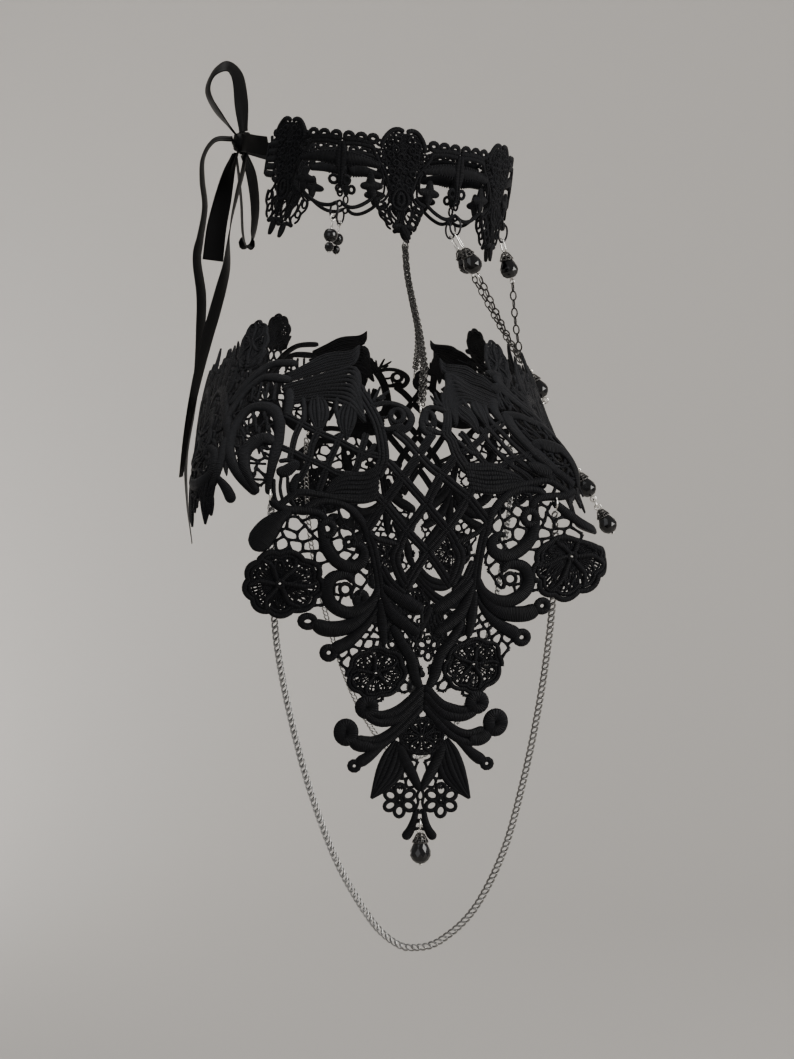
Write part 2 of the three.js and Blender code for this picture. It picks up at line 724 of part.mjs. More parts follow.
// A front drop hangs by a long eye, which lowers its cap and bead by the stretch
function addTeardrop(name, top, direction, loopAxis, hasLowerLoop, stretch = 0) {
  const down = direction.clone().normalize();
  const lowered = top.clone().addScaledVector(down, stretch);
  addPiece(`${name}_fitting`, hangDrop(dropFitting(hasLowerLoop, stretch), lowered, down, loopAxis), silver);
  addPiece(`${name}_bead`, hangDrop(teardropBead(), lowered, down, loopAxis), glass);
  return lowered.addScaledVector(down, DROP_LENGTH);
}

function chainTube(points) {
  const route = new THREE.CatmullRomCurve3(points.map((point) => new THREE.Vector3(...point)));
  const section = new THREE.Shape();
  section.absarc(0, 0, CHAIN_RADIUS, 0, 2 * Math.PI, false);
  const steps = Math.max(4, Math.round(route.getLength() / CHAIN_STEP));
  const options = { steps, curveSegments: CHAIN_SIDES / 2, extrudePath: route, bevelEnabled: false };
  return toSolid(new THREE.ExtrudeGeometry(section, options));
}

// Oval ring through the lace under a window, and where the next piece hangs in it; a chain that
// pulls at it leans it towards its aim
function addOvalRing(name, along, turn, aim) {
  const frame = frameOn(chokerPoint, along, OVAL_RING.height);
  const center = onLace(chokerPoint, along, OVAL_RING.height, 0.5);
  if (aim) {
    const hold = center.clone().addScaledVector(frame.up, RING_HOLD);
    frame.up.lerp(hold.clone().sub(aim).normalize(), RING_LEAN).normalize();
    center.copy(hold).addScaledVector(frame.up, -RING_HOLD);
  }
  const axis = frame.along.clone().applyAxisAngle(frame.up, THREE.MathUtils.degToRad(turn));
  addPiece(name, ovalRing(axis, frame.up, center), blackWire);
  return { axis, bottom: center.addScaledVector(frame.up, OVAL_RING.loopRise - OVAL_RING.halfHeight) };
}

// Front drops: the middle one hangs straight, the side ones lean towards the chest
for (const [side, along] of [['right', -PERIOD], ['left', PERIOD]]) {
  const mirror = side === 'right' ? 1 : -1;
  const aim = FRONT_DROP_AIM.clone().multiply(new THREE.Vector3(mirror, 1, 1));
  const hung = addOvalRing(`front_ring_${side}`, along, mirror * OVAL_RING.turn, aim);
  const direction = aim.sub(hung.bottom).normalize();
  const loopAxis = hung.axis.clone().cross(direction).normalize();
  addTeardrop(`front_drop_${side}`, hung.bottom, direction, loopAxis, true, LONG_EYE);
  addPiece(
    `front_chain_${side}`,
    chainTube(SIDE_CHAIN_ROUTE.map(([x, y, z]) => [mirror * x, y, z])),
    gunmetal,
  );
}
const middleRing = addOvalRing('front_ring_center', 0, OVAL_RING.turn);
const middleDirection = new THREE.Vector3(0, -0.26, -0.966);
const middleLoopAxis = middleRing.axis.clone().cross(middleDirection).normalize();
addTeardrop('front_drop_center', middleRing.bottom, middleDirection, middleLoopAxis, true, LONG_EYE);
addPiece('front_chain_center', chainTube(CENTER_CHAIN_ROUTE), gunmetal);

// Chest: ring that gathers the chains, then a drop down to the ring that joins the two lace ends
const chestAxis = AXIS_X.clone().cross(CHEST_DIRECTION);
addPiece('chest_ring', smallRing(chestAxis, CHEST_DIRECTION, CHEST_RING_CENTER), silver);
const chestTop = CHEST_RING_CENTER.clone().addScaledVector(CHEST_DIRECTION, SMALL_RING.radius);
const chestBottom = addTeardrop('chest_drop', chestTop, CHEST_DIRECTION, AXIS_X, true);

// Ring through the two lace ends; the drop meets it at its front
function addJoinRing(name, center, tilt) {
  const axis = AXIS_Z.clone().applyAxisAngle(AXIS_X, THREE.MathUtils.degToRad(-tilt));
  addPiece(name, ring(JOIN_RING.radius, JOIN_RING.wire, axis, AXIS_Y, center), silver);
}

const chestReach = JOIN_RING.radius * Math.cos(THREE.MathUtils.degToRad(CHEST_LACE_RING.tilt));
const chestLaceRing = new THREE.Vector3(0, chestBottom.y + chestReach, CHEST_LACE_RING.z);
addJoinRing('lace_ring_chest', chestLaceRing, CHEST_LACE_RING.tilt);
const sternumRing = new THREE.Vector3(0, onLace(shoulderPoint, 210, STERNUM_RING_Z, 0.5).y, STERNUM_RING_Z);
addJoinRing('lace_ring_sternum', sternumRing, 0);
const sternumTop = sternumRing.clone().add(new THREE.Vector3(0, -JOIN_RING.radius, 0));
const upperEnd = addTeardrop('sternum_drop_upper', sternumTop, STERNUM_DIRECTION, AXIS_X, true);
const linkCenter = upperEnd.clone().addScaledVector(STERNUM_DIRECTION, SMALL_RING.radius);
const linkAxis = AXIS_X.clone().cross(STERNUM_DIRECTION);
addPiece('sternum_link', smallRing(linkAxis, STERNUM_DIRECTION, linkCenter), silver);
const lowerTop = linkCenter.clone().addScaledVector(STERNUM_DIRECTION, SMALL_RING.radius);
addTeardrop('sternum_drop_lower', lowerTop, STERNUM_DIRECTION, AXIS_X, false);

// Pieces of one shoulder, built on the right and mirrored to the left
function addBothSides(name, geometry, material) {
  addPiece(`${name}_right`, geometry, material);
  addPiece(`${name}_left`, mirrored(geometry), material);
}

// Small drops under the side windows
const smallSide = frameOn(chokerPoint, -2 * PERIOD, OVAL_RING.height);
const smallCenter = onLace(chokerPoint, -2 * PERIOD, OVAL_RING.height, 0.5);
const smallTurn = THREE.MathUtils.degToRad(OVAL_RING.turn);
const smallAxis = smallSide.along.clone().applyAxisAngle(smallSide.up, smallTurn);
addBothSides('small_ring', ovalRing(smallAxis, smallSide.up, smallCenter), blackWire);
const smallTop = smallCenter.clone().addScaledVector(smallSide.up, OVAL_RING.loopRise - OVAL_RING.halfHeight);
const smallLoopAxis = smallAxis.clone().cross(AXIS_Z).normalize();
const smallPin = joined([
  dropLoop(SMALL_DROP.loop, 0),
  dropPin(0.9, SMALL_DROP.end, PIN_RADIUS),
  dropBall(SMALL_DROP.endRadius, SMALL_DROP.end),
]);
const smallBead = lathed(
  closed([
    { r: SMALL_DROP.bore, s: SMALL_DROP.bead - 2.8 },
    { r: 2.1, s: SMALL_DROP.bead - 2.1 },
    { r: SMALL_DROP.beadRadius, s: SMALL_DROP.bead - 0.7 },
    { r: SMALL_DROP.beadRadius, s: SMALL_DROP.bead + 0.7 },
    { r: 2.1, s: SMALL_DROP.bead + 2.1 },
    { r: SMALL_DROP.bore, s: SMALL_DROP.bead + 2.8 },
  ]),
  BEAD_SIDES,
);
const DOWN = new THREE.Vector3(0, 0, -1);
addBothSides('small_drop_pin', hangDrop(smallPin, smallTop, DOWN, smallLoopAxis), silver);
addBothSides('small_drop_bead', hangDrop(smallBead, smallTop, DOWN, smallLoopAxis), glass);

// Shoulder chains and the ring in the notch
for (const strand of SHOULDER_STRANDS) {
  addBothSides(`shoulder_chain_${strand.name}`, chainTube(strand.route), gunmetal);
}
const notch = frameOn(shoulderPoint, 0, NOTCH_RING.z);
const notchCenter = onLace(shoulderPoint, 0, NOTCH_RING.z, 0.5);
const notchRing = ring(NOTCH_RING.radius, NOTCH_RING.wire, notch.along, notch.up, notchCenter);
addBothSides('notch_ring', notchRing, silver);

// Swag chains and their end rings
addBothSides('swag_chain', chainTube(SWAG_ROUTE), gunmetal);
for (const end of SWAG_ENDS) {
  const frame = frameOn(shoulderPoint, end.across, end.z);
  const center = onLace(shoulderPoint, end.across, end.z, 0.5);
  addBothSides(`swag_ring_${end.name}`, smallRing(frame.along, frame.up, center), silver);
}

// Drop at each lobe's tip
const TIP_RING_Z = -252;
const tipFrame = frameOn(shoulderPoint, 0, TIP_RING_Z);
const tipCenter = onLace(shoulderPoint, 0, TIP_RING_Z, 0.5);
addBothSides('tip_ring', smallRing(tipFrame.along, tipFrame.up, tipCenter), silver);
const tipTop = tipCenter.clone().addScaledVector(tipFrame.up, -SMALL_RING.radius);
addBothSides('tip_drop_fitting', hangDrop(dropFitting(false), tipTop, DOWN, AXIS_X), silver);
addBothSides('tip_drop_bead', hangDrop(teardropBead(), tipTop, DOWN, AXIS_X), glass);

// Plain ring that joins the lace ends at the back
const backY = onLace(shoulderPoint, -210, STERNUM_RING_Z, 0.5).y;
addPiece(
  'lace_ring_back',
  ring(JOIN_RING.radius, JOIN_RING.wire, AXIS_Z, AXIS_Y, new THREE.Vector3(0, backY, STERNUM_RING_Z)),
  silver,
);

// Satin ribbon: a flat box bent along its route
function ribbon(piece) {
  const route = new THREE.CatmullRomCurve3(piece.route.map((point) => new THREE.Vector3(...point)));
  const across = new THREE.CatmullRomCurve3(piece.across.map((point) => new THREE.Vector3(...point)));
  const box = toSolid(new THREE.BoxGeometry(1, 1, 1, piece.steps, 1, 1));
  const place = box.getAttribute('position');
  for (let i = 0; i < place.count; i++) {
    const t = THREE.MathUtils.clamp(place.getX(i) + 0.5, 0, 1);
    const tangent = route.getTangent(t);
    const wide = across.getPoint(t);
    wide.addScaledVector(tangent, -wide.dot(tangent)).normalize();
    const thick = tangent.clone().cross(wide);
    const point = route.getPoint(t);
    point.addScaledVector(wide, place.getY(i) * piece.width);
    point.addScaledVector(thick, place.getZ(i) * RIBBON_THICKNESS);
    place.setXYZ(i, point.x, point.y, point.z);
  }
  return box;
}

for (const piece of RIBBON_PIECES) {
  addPiece(piece.name, ribbon(piece), satin);
}
addBothSides('ribbon_band', ribbon(RIBBON_BAND), satin);
const knot = toSolid(new THREE.SphereGeometry(1, 12, 8));
knot.scale(...KNOT.half).translate(...KNOT.center);
addPiece('ribbon_knot', knot, satin);

export default part;
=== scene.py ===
import math
from collections import Counter

import bmesh
import bpy
import numpy as np
from mathutils import Euler, Matrix, Vector


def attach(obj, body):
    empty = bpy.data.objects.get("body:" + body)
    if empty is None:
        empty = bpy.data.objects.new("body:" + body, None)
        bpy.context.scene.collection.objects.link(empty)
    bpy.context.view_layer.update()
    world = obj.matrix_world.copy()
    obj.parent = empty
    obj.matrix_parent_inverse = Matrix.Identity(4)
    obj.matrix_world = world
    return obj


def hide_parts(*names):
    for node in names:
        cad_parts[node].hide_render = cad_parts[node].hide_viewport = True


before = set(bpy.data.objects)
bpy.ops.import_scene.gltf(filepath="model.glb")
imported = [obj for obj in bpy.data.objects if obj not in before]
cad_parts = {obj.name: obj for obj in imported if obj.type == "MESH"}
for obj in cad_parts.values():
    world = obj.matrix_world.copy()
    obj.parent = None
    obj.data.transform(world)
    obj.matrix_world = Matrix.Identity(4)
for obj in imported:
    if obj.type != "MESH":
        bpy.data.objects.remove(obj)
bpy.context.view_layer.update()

# Camera: a metre out from the wearer's right side, a little below the choker and pitched seven
# degrees down, as the photograph was taken.
camera = bpy.data.objects.new("camera", bpy.data.cameras.new("camera"))
camera.data.lens = 73.26
camera.location = (-0.9864, -0.00695, -0.0405)
camera.rotation_euler = Euler((math.radians(83.25), 0, math.radians(-90)))
bpy.context.scene.collection.objects.link(camera)
bpy.context.scene.camera = camera

# Studio: one pale paper sweep, floor and wall in a single curve, well clear of the piece.
def settled(name, shape, material):
    """Turns a bmesh into an object with one material."""
    mesh = bpy.data.meshes.new(name)
    shape.to_mesh(mesh)
    shape.free()
    mesh.materials.append(material)
    piece = bpy.data.objects.new(name, mesh)
    bpy.context.scene.collection.objects.link(piece)
    return piece


def new_material(name, color, roughness, metallic=0.0):
    """Makes a material and returns it with its node tree and its shader."""
    material = bpy.data.materials.new(name)
    material.use_nodes = True
    shader = material.node_tree.nodes["Principled BSDF"]
    shader.inputs["Base Color"].default_value = (*color, 1)
    shader.inputs["Roughness"].default_value = roughness
    shader.inputs["Metallic"].default_value = metallic
    return material, material.node_tree, shader


def added(tree, kind, **values):
    """A new shader node with some of its inputs set."""
    node = tree.nodes.new("ShaderNode" + kind)
    for name, value in values.items():
        node.inputs[name.replace("_", " ")].default_value = value
    return node


paper, paper_tree, paper_shader = new_material("studio_paper", (0.44, 0.421, 0.398), 0.95)
paper_grain = added(paper_tree, "TexNoise", Scale=900)
paper_bump = added(paper_tree, "Bump", Strength=0.05)
paper_tree.links.new(paper_grain.outputs["Fac"], paper_bump.inputs["Height"])
paper_tree.links.new(paper_bump.outputs["Normal"], paper_shader.inputs["Normal"])
FLOOR_LEVEL = -0.62
WALL_HEIGHT = 3
BEND_RADIUS = 0.9
sweep = bmesh.new()
bmesh.ops.create_grid(sweep, x_segments=1, y_segments=1, size=3)
bmesh.ops.translate(sweep, verts=sweep.verts, vec=(-1.2, 0, FLOOR_LEVEL))
wall_edge = [e for e in sweep.edges if all(v.co.x > 0 for v in e.verts)]
raised = bmesh.ops.extrude_edge_only(sweep, edges=wall_edge)["geom"]
wall_top = [g for g in raised if isinstance(g, bmesh.types.BMVert)]
bmesh.ops.translate(sweep, verts=wall_top, vec=(0, 0, WALL_HEIGHT))
bmesh.ops.bevel(sweep, geom=wall_edge, offset=BEND_RADIUS, segments=24, profile=0.5, affect="EDGES",
                material=-1)
studio_floor = settled("studio_floor", sweep, paper)
studio_floor.data.shade_smooth()

# Light: a broad soft window on the wearer's front side, a weaker fill behind the camera and one
# above, and a small lamp that brightens the wall.
for name, place, aim, size, power, color in [
    ("front_window", (-0.9, -1.9, 0.55), (0, 0, -0.12), 1.5, 60, (1.0, 0.98, 0.95)),
    ("camera_fill", (-1.9, 1.0, 0.5), (0, 0, -0.12), 1.6, 8, (0.97, 0.98, 1.0)),
    ("top_fill", (0.1, 0.2, 1.5), (0, 0, -0.1), 1.4, 14, (1.0, 0.99, 0.97)),
    ("wall_wash", (0.95, 0.95, -0.3), (1.45, 0.5, -0.52), 0.5, 8, (1.0, 0.99, 0.98)),
]:
    lamp = bpy.data.lights.new(name, "AREA")
    lamp.shape = "SQUARE"
    lamp.size = size
    lamp.energy = power
    lamp.color = color
    light = bpy.data.objects.new(name, lamp)
    light.location = place
    light.rotation_euler = (Vector(aim) - Vector(place)).to_track_quat("-Z", "Y").to_euler()
    bpy.context.scene.collection.objects.link(light)
world = bpy.data.worlds.new("studio_world")
world.use_nodes = True
world.node_tree.nodes["Background"].inputs["Color"].default_value = (1.0, 0.98, 0.955, 1)
world.node_tree.nodes["Background"].inputs["Strength"].default_value = 0.34
bpy.context.scene.world = world

# Shoulder lace: black guipure, all satin-stitched cord on nothing, one applique over each shoulder.
# It is drawn flat, half of it, in mm along the body from its own axis and in height, and then laid
# on the shoulder; the front half is pulled a little higher than the back one.
SHOULDER_Y = -16
# Rows: height, half width, front and back of the body
BODY_LEVELS = np.array([
    (-310, 166, -95, 84), (-200, 172, -95, 84), (-150, 176, -95, 84), (-125, 175, -83, 83),
    (-105, 168, -73, 81), (-90, 152, -68, 78), (-75, 120, -63, 74), (-60, 85, -58, 70),
    (-40, 55, -50, 62), (-20, 50, -46, 58),
], float)
# Arcs of a quarter of the body's section, from the side to the front: radius, degrees
SECTION_ARCS = [(130, 17.6), (45, 60), (585, 12.4)]
# The wing's lobe stands away from the body on an arc of this radius
LOBE_RADIUS = 350
# The lace lies this far off the surface that it is drawn on
LACE_LIFT = 0.8


def body_size(column, z):
    """Half width, front or back of the body at a height, averaged so that it has no creases."""
    return sum(np.interp(z + o, BODY_LEVELS[:, 0], BODY_LEVELS[:, column]) for o in (-9, -4.5, 0, 4.5, 9)) / 5


def along_section(length):
    """How far in from the side and how far forward a point is, a length round the body."""
    angle, inward, forward, left = (np.zeros_like(length) for _ in range(4))
    left = length.copy()
    for radius, turn in SECTION_ARCS:
        step = np.minimum(left, radius * math.radians(turn))
        following = angle + step / radius
        inward += radius * (np.cos(angle) - np.cos(following))
        forward += radius * (np.sin(following) - np.sin(angle))
        angle, left = following, left - step
    return inward, forward


QUARTER_IN, QUARTER_FORWARD = (float(v[0]) for v in along_section(np.array([1e9])))


def eased(x, start, end):
    """From 0 at the start to 1 at the end, with soft ends."""
    t = np.clip((x - start) / (end - start), 0, 1)
    return t * t * (3 - 2 * t)


def shoulder(across, z):
    """Points of the right shoulder, across positive to the front, in mm."""
    reach = np.abs(across)
    half_width = body_size(1, z)
    depth = np.where(across < 0, body_size(3, z), body_size(2, z)) - SHOULDER_Y
    inward, forward = along_section(reach)
    swing = reach / LOBE_RADIUS
    wrapped = np.stack([
        -half_width * (1 - inward / QUARTER_IN),
        SHOULDER_Y + depth * forward / QUARTER_FORWARD,
        z,
    ], 1)
    hanging = np.stack([
        -half_width + LOBE_RADIUS * (1 - np.cos(swing)),
        SHOULDER_Y + np.sign(depth) * LOBE_RADIUS * np.sin(swing),
        z,
    ], 1)
    front_start = 68 - 14 * eased(z, -150, -125)
    start = np.where(across < 0, 75.0, front_start)
    share = (1 - eased(z, -118, -86)) * (1 - eased(reach, start, np.where(across < 0, 115.0, 86.0)))
    return wrapped + (hanging - wrapped) * share[:, None]


def outward(surface, u, v):
    """Unit directions out of a surface."""
    side = surface(u + 0.5, v) - surface(u - 0.5, v)
    up = surface(u, v + 0.5) - surface(u, v - 0.5)
    out = np.cross(side, up)
    return out / np.linalg.norm(out, axis=1)[:, None]


def curve_through(points, pieces):
    """Close points on a smooth curve through the given ones, so many between each two of them."""
    ends = np.vstack([2 * points[0] - points[1], points, 2 * points[-1] - points[-2]])
    t = np.linspace(0, 1, pieces + 1)[:-1, None]
    rows = []
    for a, b, c, d in zip(ends, ends[1:], ends[2:], ends[3:]):
        square, cube = 2 * a - 5 * b + 4 * c - d, 3 * b - a - 3 * c + d
        rows.append(0.5 * (2 * b + (c - a) * t + square * t**2 + cube * t**3))
    return np.vstack([*rows, points[-1:]])


def smooth_line(points, step=1.2):
    """Rows of x, y and width on a smooth line through the points, closer together at its round ends."""
    rows = curve_through(np.array(points, float), 12)
    rows[:, 2] = np.maximum(rows[:, 2], 0.3)
    travel = np.concatenate([[0], np.cumsum(np.hypot(*np.diff(rows[:, :2], axis=0).T))])
    long = travel[-1]
    round_start, round_end = min(rows[0, 2] / 2, long / 2), min(rows[-1, 2] / 2, long / 2)
    places = np.unique(np.concatenate([
        np.linspace(round_start, long - round_end, max(2, int(long / step))),
        round_start * np.array([0.02, 0.15, 0.45]),
        long - round_end * np.array([0.02, 0.15, 0.45]),
    ]))
    line = np.stack([np.interp(places, travel, rows[:, i]) for i in range(3)], 1)
    for reach, gap in ((round_start, places), (round_end, long - places)):
        near = gap < reach
        line[near, 2] *= np.sqrt(1 - ((reach - gap[near]) / reach) ** 2)
    return line


class Stitching:
    """The cords of one half of a piece of lace, as smooth lines with a width and a lift."""

    def __init__(self):
        self.lines = []

    def cord(self, points, width=None, lift=0.0, step=1.2):
        """One satin-stitched cord through x, y points, or x, y, width points."""
        rows = [(*p, width) if width is not None else p for p in points]
        self.lines.append((smooth_line(rows, step), lift))

    def beside(self, points, offset, width, lift=0.0):
        """A cord that runs beside a line, on its left where the offset is positive."""
        line = smooth_line([(*p[:2], 1.0) for p in points], 2.0)[:, :2]
        way = np.gradient(line, axis=0)
        way /= np.maximum(np.linalg.norm(way, axis=1), 1e-6)[:, None]
        moved = line + np.stack([-way[:, 1], way[:, 0]], 1) * offset
        self.cord(moved[:: max(1, len(moved) // 9)].tolist() + [moved[-1].tolist()], width, lift)

    def double(self, points, width):
        """Two cords sewn close side by side, as in the lattice bars."""
        self.beside(points, width * 0.22, width * 0.66)
        self.beside(points, -width * 0.22, width * 0.66)

    def ribs(self, one_edge, other_edge, count, fill=1.3):
        """Cords side by side between two edges, as in a leaf or a padded arch."""
        one, other = np.array(one_edge, float), np.array(other_edge, float)
        for i in range(count):
            share = (i + 0.5) / count
            row = one + (other - one) * share
            width = np.maximum(np.linalg.norm(other - one, axis=1) / count * fill, 0.8)
            self.cord(np.column_stack([row, width]).tolist(), lift=0.12 * (i % 2), step=1.8)

    def loop(self, center, radius, width, turn=0.0, lift=0.0):
        """A closed round or oval cord."""
        across, high = (radius, radius) if np.isscalar(radius) else radius
        count = max(9, int(7 * max(across, high)))
        angle = np.linspace(0, 2 * math.pi, min(count, 40))
        x, y = across * np.cos(angle), high * np.sin(angle)
        c, s = math.cos(math.radians(turn)), math.sin(math.radians(turn))
        points = np.stack([center[0] + x * c - y * s, center[1] + x * s + y * c, angle * 0 + width], 1)
        self.lines.append((points, lift))

    def leaf(self, base, tip, width, bow=0.0):
        """A padded leaf: a middle vein and two rows of stitches on each side that meet at its tip."""
        base, tip = np.array(base, float), np.array(tip, float)
        way = tip - base
        side = np.array([-way[1], way[0]]) / np.linalg.norm(way)
        for place in (-0.72, -0.36, 0, 0.36, 0.72):
            row = []
            for share, full in ((0.0, 0.35), (0.25, 0.9), (0.5, 1.0), (0.75, 0.66), (1.0, 0.06)):
                middle = base + way * share + side * bow * math.sin(math.pi * share)
                row.append((*(middle + side * place * full * width / 2), max(full * width * 0.24, 0.6)))
            self.cord(row, lift=0.2 if place == 0 else 0.0, step=1.8)

    def flower(self, center, across, high, turn=0.0, petals=6, veins=36, rows=(0.24, 0.36, 0.48, 0.6, 0.73)):
        """A netted flower: scalloped padded rim, curved petal seams and a close net of thread inside."""
        c, s = math.cos(math.radians(turn)), math.sin(math.radians(turn))
        small = min(across, high)

        def at(share, angle):
            x, y = across * share * np.cos(angle), high * share * np.sin(angle)
            return np.stack([center[0] + x * c - y * s, center[1] + x * s + y * c], -1)

        rim = np.linspace(0, 2 * math.pi, 73)
        edge = 0.84 + 0.1 * np.abs(np.cos(petals * 1.5 * rim / 2))
        for share, width, lift in ((1.0, 0.17, 0.15), (0.87, 0.13, 0.05)):
            self.lines.append((np.column_stack([at(share * edge, rim), rim * 0 + width * small]), lift))
        for i in range(petals):
            start = 2 * math.pi * i / petals
            points = at(np.array([0.06, 0.3, 0.58, 0.84]), start + np.array([0.0, 0.3, 0.34, 0.12]))
            self.cord(np.column_stack([points, np.array([0.1, 0.16, 0.14, 0.12]) * small]).tolist(),
                      lift=0.25)
            fold = start + math.pi / petals + np.array([-0.26, -0.1, 0.1, 0.26]) + 0.16
            self.cord(at(np.array([0.5, 0.66, 0.66, 0.5]), fold).tolist(), 0.09 * small, lift=0.15)
        for i in range(veins):
            angle = 2 * math.pi * i / veins
            points = at(np.array([0.14, 0.48, 0.8]), angle + np.array([0, 0.14, 0.1]))
            self.lines.append((np.column_stack([points, np.array([0.05, 0.075, 0.085]) * small]), -0.1))
        for share in rows:
            around = np.linspace(0, 2 * math.pi, 31)
            self.lines.append((np.column_stack([at(share, around), around * 0 + 0.062 * small]), -0.15))
        self.loop(center, (0.1 * across, 0.1 * high), 0.15 * small, turn, 0.2)

    def curls(self, border, pitch, width, seed=0):
        """A close net of little loops that fills an outline."""
        border = np.array(border, float)
        chance = np.random.default_rng(seed)
        low, high = border.min(0), border.max(0)
        for j, y in enumerate(np.arange(low[1] + pitch * 0.3, high[1], pitch * 0.87)):
            for x in np.arange(low[0] + pitch * (0.1 + 0.5 * (j % 2)), high[0], pitch):
                spot = np.array([x, y]) + chance.uniform(-0.14, 0.14, 2) * pitch
                if inside(spot, border):
                    self.loop(spot, pitch * 0.4, width)

    def net(self, border, cell, width, seed):
        """Brides: fine cords in uneven six-sided cells, only where no thicker cord lies."""
        border = np.array(border, float)
        chance = np.random.default_rng(seed)
        low, high = border.min(0), border.max(0)
        nudge = {}
        links = set()
        for i in range(int((high[0] - low[0]) / (cell * 0.87)) + 2):
            for j in range(int((high[1] - low[1]) / (cell * 0.75)) + 3):
                corner = (i * 2 + (j % 2), j * 3)
                for turn in ((0, 2), (1, 1), (1, -1), (0, -2), (-1, -1), (-1, 1), (0, 2)):
                    place = (corner[0] + turn[0], corner[1] + turn[1])
                    if place not in nudge:
                        nudge[place] = chance.uniform(-0.16, 0.16, 2) * cell
                around = [(corner[0] + x, corner[1] + y) for x, y in ((0, 2), (1, 1), (1, -1), (0, -2))]
                links.update((a, b) for a, b in zip(around, around[1:]))
        spot = {k: low + np.array([k[0] * cell * 0.433, k[1] * cell * 0.25]) + n for k, n in nudge.items()}
        sewn = np.vstack([line for line, _ in self.lines])
        nearest = {k: np.min(np.hypot(*(sewn[:, :2] - p).T) - sewn[:, 2] / 2) for k, p in spot.items()}
        kept = set()
        for a, b in links:
            if a not in spot or b not in spot or (nearest[a] < -0.3 and nearest[b] < -0.3):
                continue
            if inside(spot[a], border) and inside(spot[b], border):
                kept.add((a, b))
        while True:
            ends = Counter(k for link in kept for k in link)
            loose = {k for k, count in ends.items() if count == 1 and nearest[k] > 0.2}
            cut = {link for link in kept if link[0] in loose or link[1] in loose}
            if not cut:
                break
            kept -= cut
        for a, b in sorted(kept):
            one, other = spot[a], spot[b]
            points = [(*one, width * 1.5), (*((one + other) / 2), width), (*other, width * 1.5)]
            self.lines.append((np.array(points), -0.2))


def inside(point, border):
    """Whether a point lies in a closed outline."""
    x, y = point
    a, b = border, np.roll(border, -1, 0)
    crosses = (a[:, 1] > y) != (b[:, 1] > y)
    with np.errstate(divide="ignore", invalid="ignore"):
        at = a[:, 0] + (y - a[:, 1]) * (b[:, 0] - a[:, 0]) / (b[:, 1] - a[:, 1])
    return bool(np.sum(crosses & (x < at)) % 2)


def tube_mesh(name, paths, resolution):
    """The mesh of many round tubes; each path is its points and radius in mm and whether it closes."""
    curve = bpy.data.curves.new(name, "CURVE")
    curve.dimensions = "3D"
    curve.bevel_depth = 0.001
    curve.bevel_resolution = resolution
    for points, radius, closed in paths:
        spline = curve.splines.new("POLY")
        spline.points.add(len(points) - 1)
        rows = np.column_stack([np.array(points) / 1000, np.ones(len(points))])
        spline.points.foreach_set("co", rows.ravel())
        spline.points.foreach_set("radius", np.full(len(points), radius))
        spline.use_cyclic_u = closed
    tube = bpy.data.objects.new(name + "_tubes", curve)
    bpy.context.scene.collection.objects.link(tube)
    bpy.context.view_layer.update()
    mesh = bpy.data.meshes.new_from_object(tube.evaluated_get(bpy.context.evaluated_depsgraph_get()))
    bpy.data.objects.remove(tube)
    return mesh


def capped(name, mesh, material):
    """A smooth piece made of a mesh of tubes, with their open ends closed."""
    shape = bmesh.new()
    shape.from_mesh(mesh)
    bmesh.ops.holes_fill(shape, edges=[e for e in shape.edges if e.is_boundary])
    bmesh.ops.recalc_face_normals(shape, faces=shape.faces)
    piece = settled(name, shape, material)
    piece.data.shade_smooth()
    return piece


def fitted(piece, node):
    """Fixes a piece to the one body and hides its node's part from the model."""
    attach(piece, "root")
    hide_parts(node)


def sewn_lace(name, lines, surface, material, resolution):
    """Lays flat lines on a surface as padded cords: round tubes, pressed flatter the wider they are."""
    closed = [np.allclose(line[0, :2], line[-1, :2]) for line, _ in lines]
    lines = [(line[:-1] if ring else line, lift) for (line, lift), ring in zip(lines, closed)]
    total = np.vstack([line for line, _ in lines])
    lift = np.concatenate([np.full(len(line), amount) for line, amount in lines])
    out = outward(surface, total[:, 0], total[:, 1])
    middle = surface(total[:, 0], total[:, 1]) + out * (LACE_LIFT + lift)[:, None]
    radius = total[:, 2] / 2
    start = 0
    paths = []
    travel = np.zeros(len(total))
    kind = np.zeros(len(total))
    for i, (line, _) in enumerate(lines):
        rows = slice(start, start + len(line))
        paths.append((middle[rows], radius[rows], bool(closed[i])))
        travel[rows] = np.concatenate([[0], np.cumsum(np.linalg.norm(np.diff(middle[rows], axis=0), axis=1))])
        kind[rows] = (i * 0.618) % 1
        start += len(line)
    mesh = tube_mesh(name, paths, resolution)
    sides = len(mesh.vertices) // len(total)
    place = np.zeros(len(mesh.vertices) * 3)
    mesh.vertices.foreach_get("co", place)
    place = place.reshape(-1, 3) * 1000
    center, way = np.repeat(middle, sides, 0), np.repeat(out, sides, 0)
    spread = np.repeat(radius, sides)
    height = np.sum((place - center) * way, 1)
    thick = np.minimum(np.minimum(0.4 + 0.27 * spread, 1.0), spread)
    place -= way * (height * (1 - thick / np.maximum(spread, 1e-6)))[:, None]
    mesh.vertices.foreach_set("co", (place / 1000).ravel())
    side = np.cross(way, np.gradient(center, axis=0))
    across = np.sum((place - center) * side, 1) / np.maximum(np.linalg.norm(side, axis=1), 1e-9)
    stitch = mesh.attributes.new("stitch", "FLOAT_VECTOR", "POINT")
    values = np.column_stack([np.repeat(travel, sides), across, np.repeat(kind, sides)])
    stitch.data.foreach_set("vector", values.ravel())
    return capped(name, mesh, material)


def other_side(piece, name):
    """A mirrored copy of a right-hand piece for the wearer's left."""
    shape = bmesh.new()
    shape.from_mesh(piece.data)
    bmesh.ops.scale(shape, verts=shape.verts, vec=(-1, 1, 1))
    bmesh.ops.reverse_faces(shape, faces=shape.faces)
    return settled(name, shape, piece.data.materials[0])


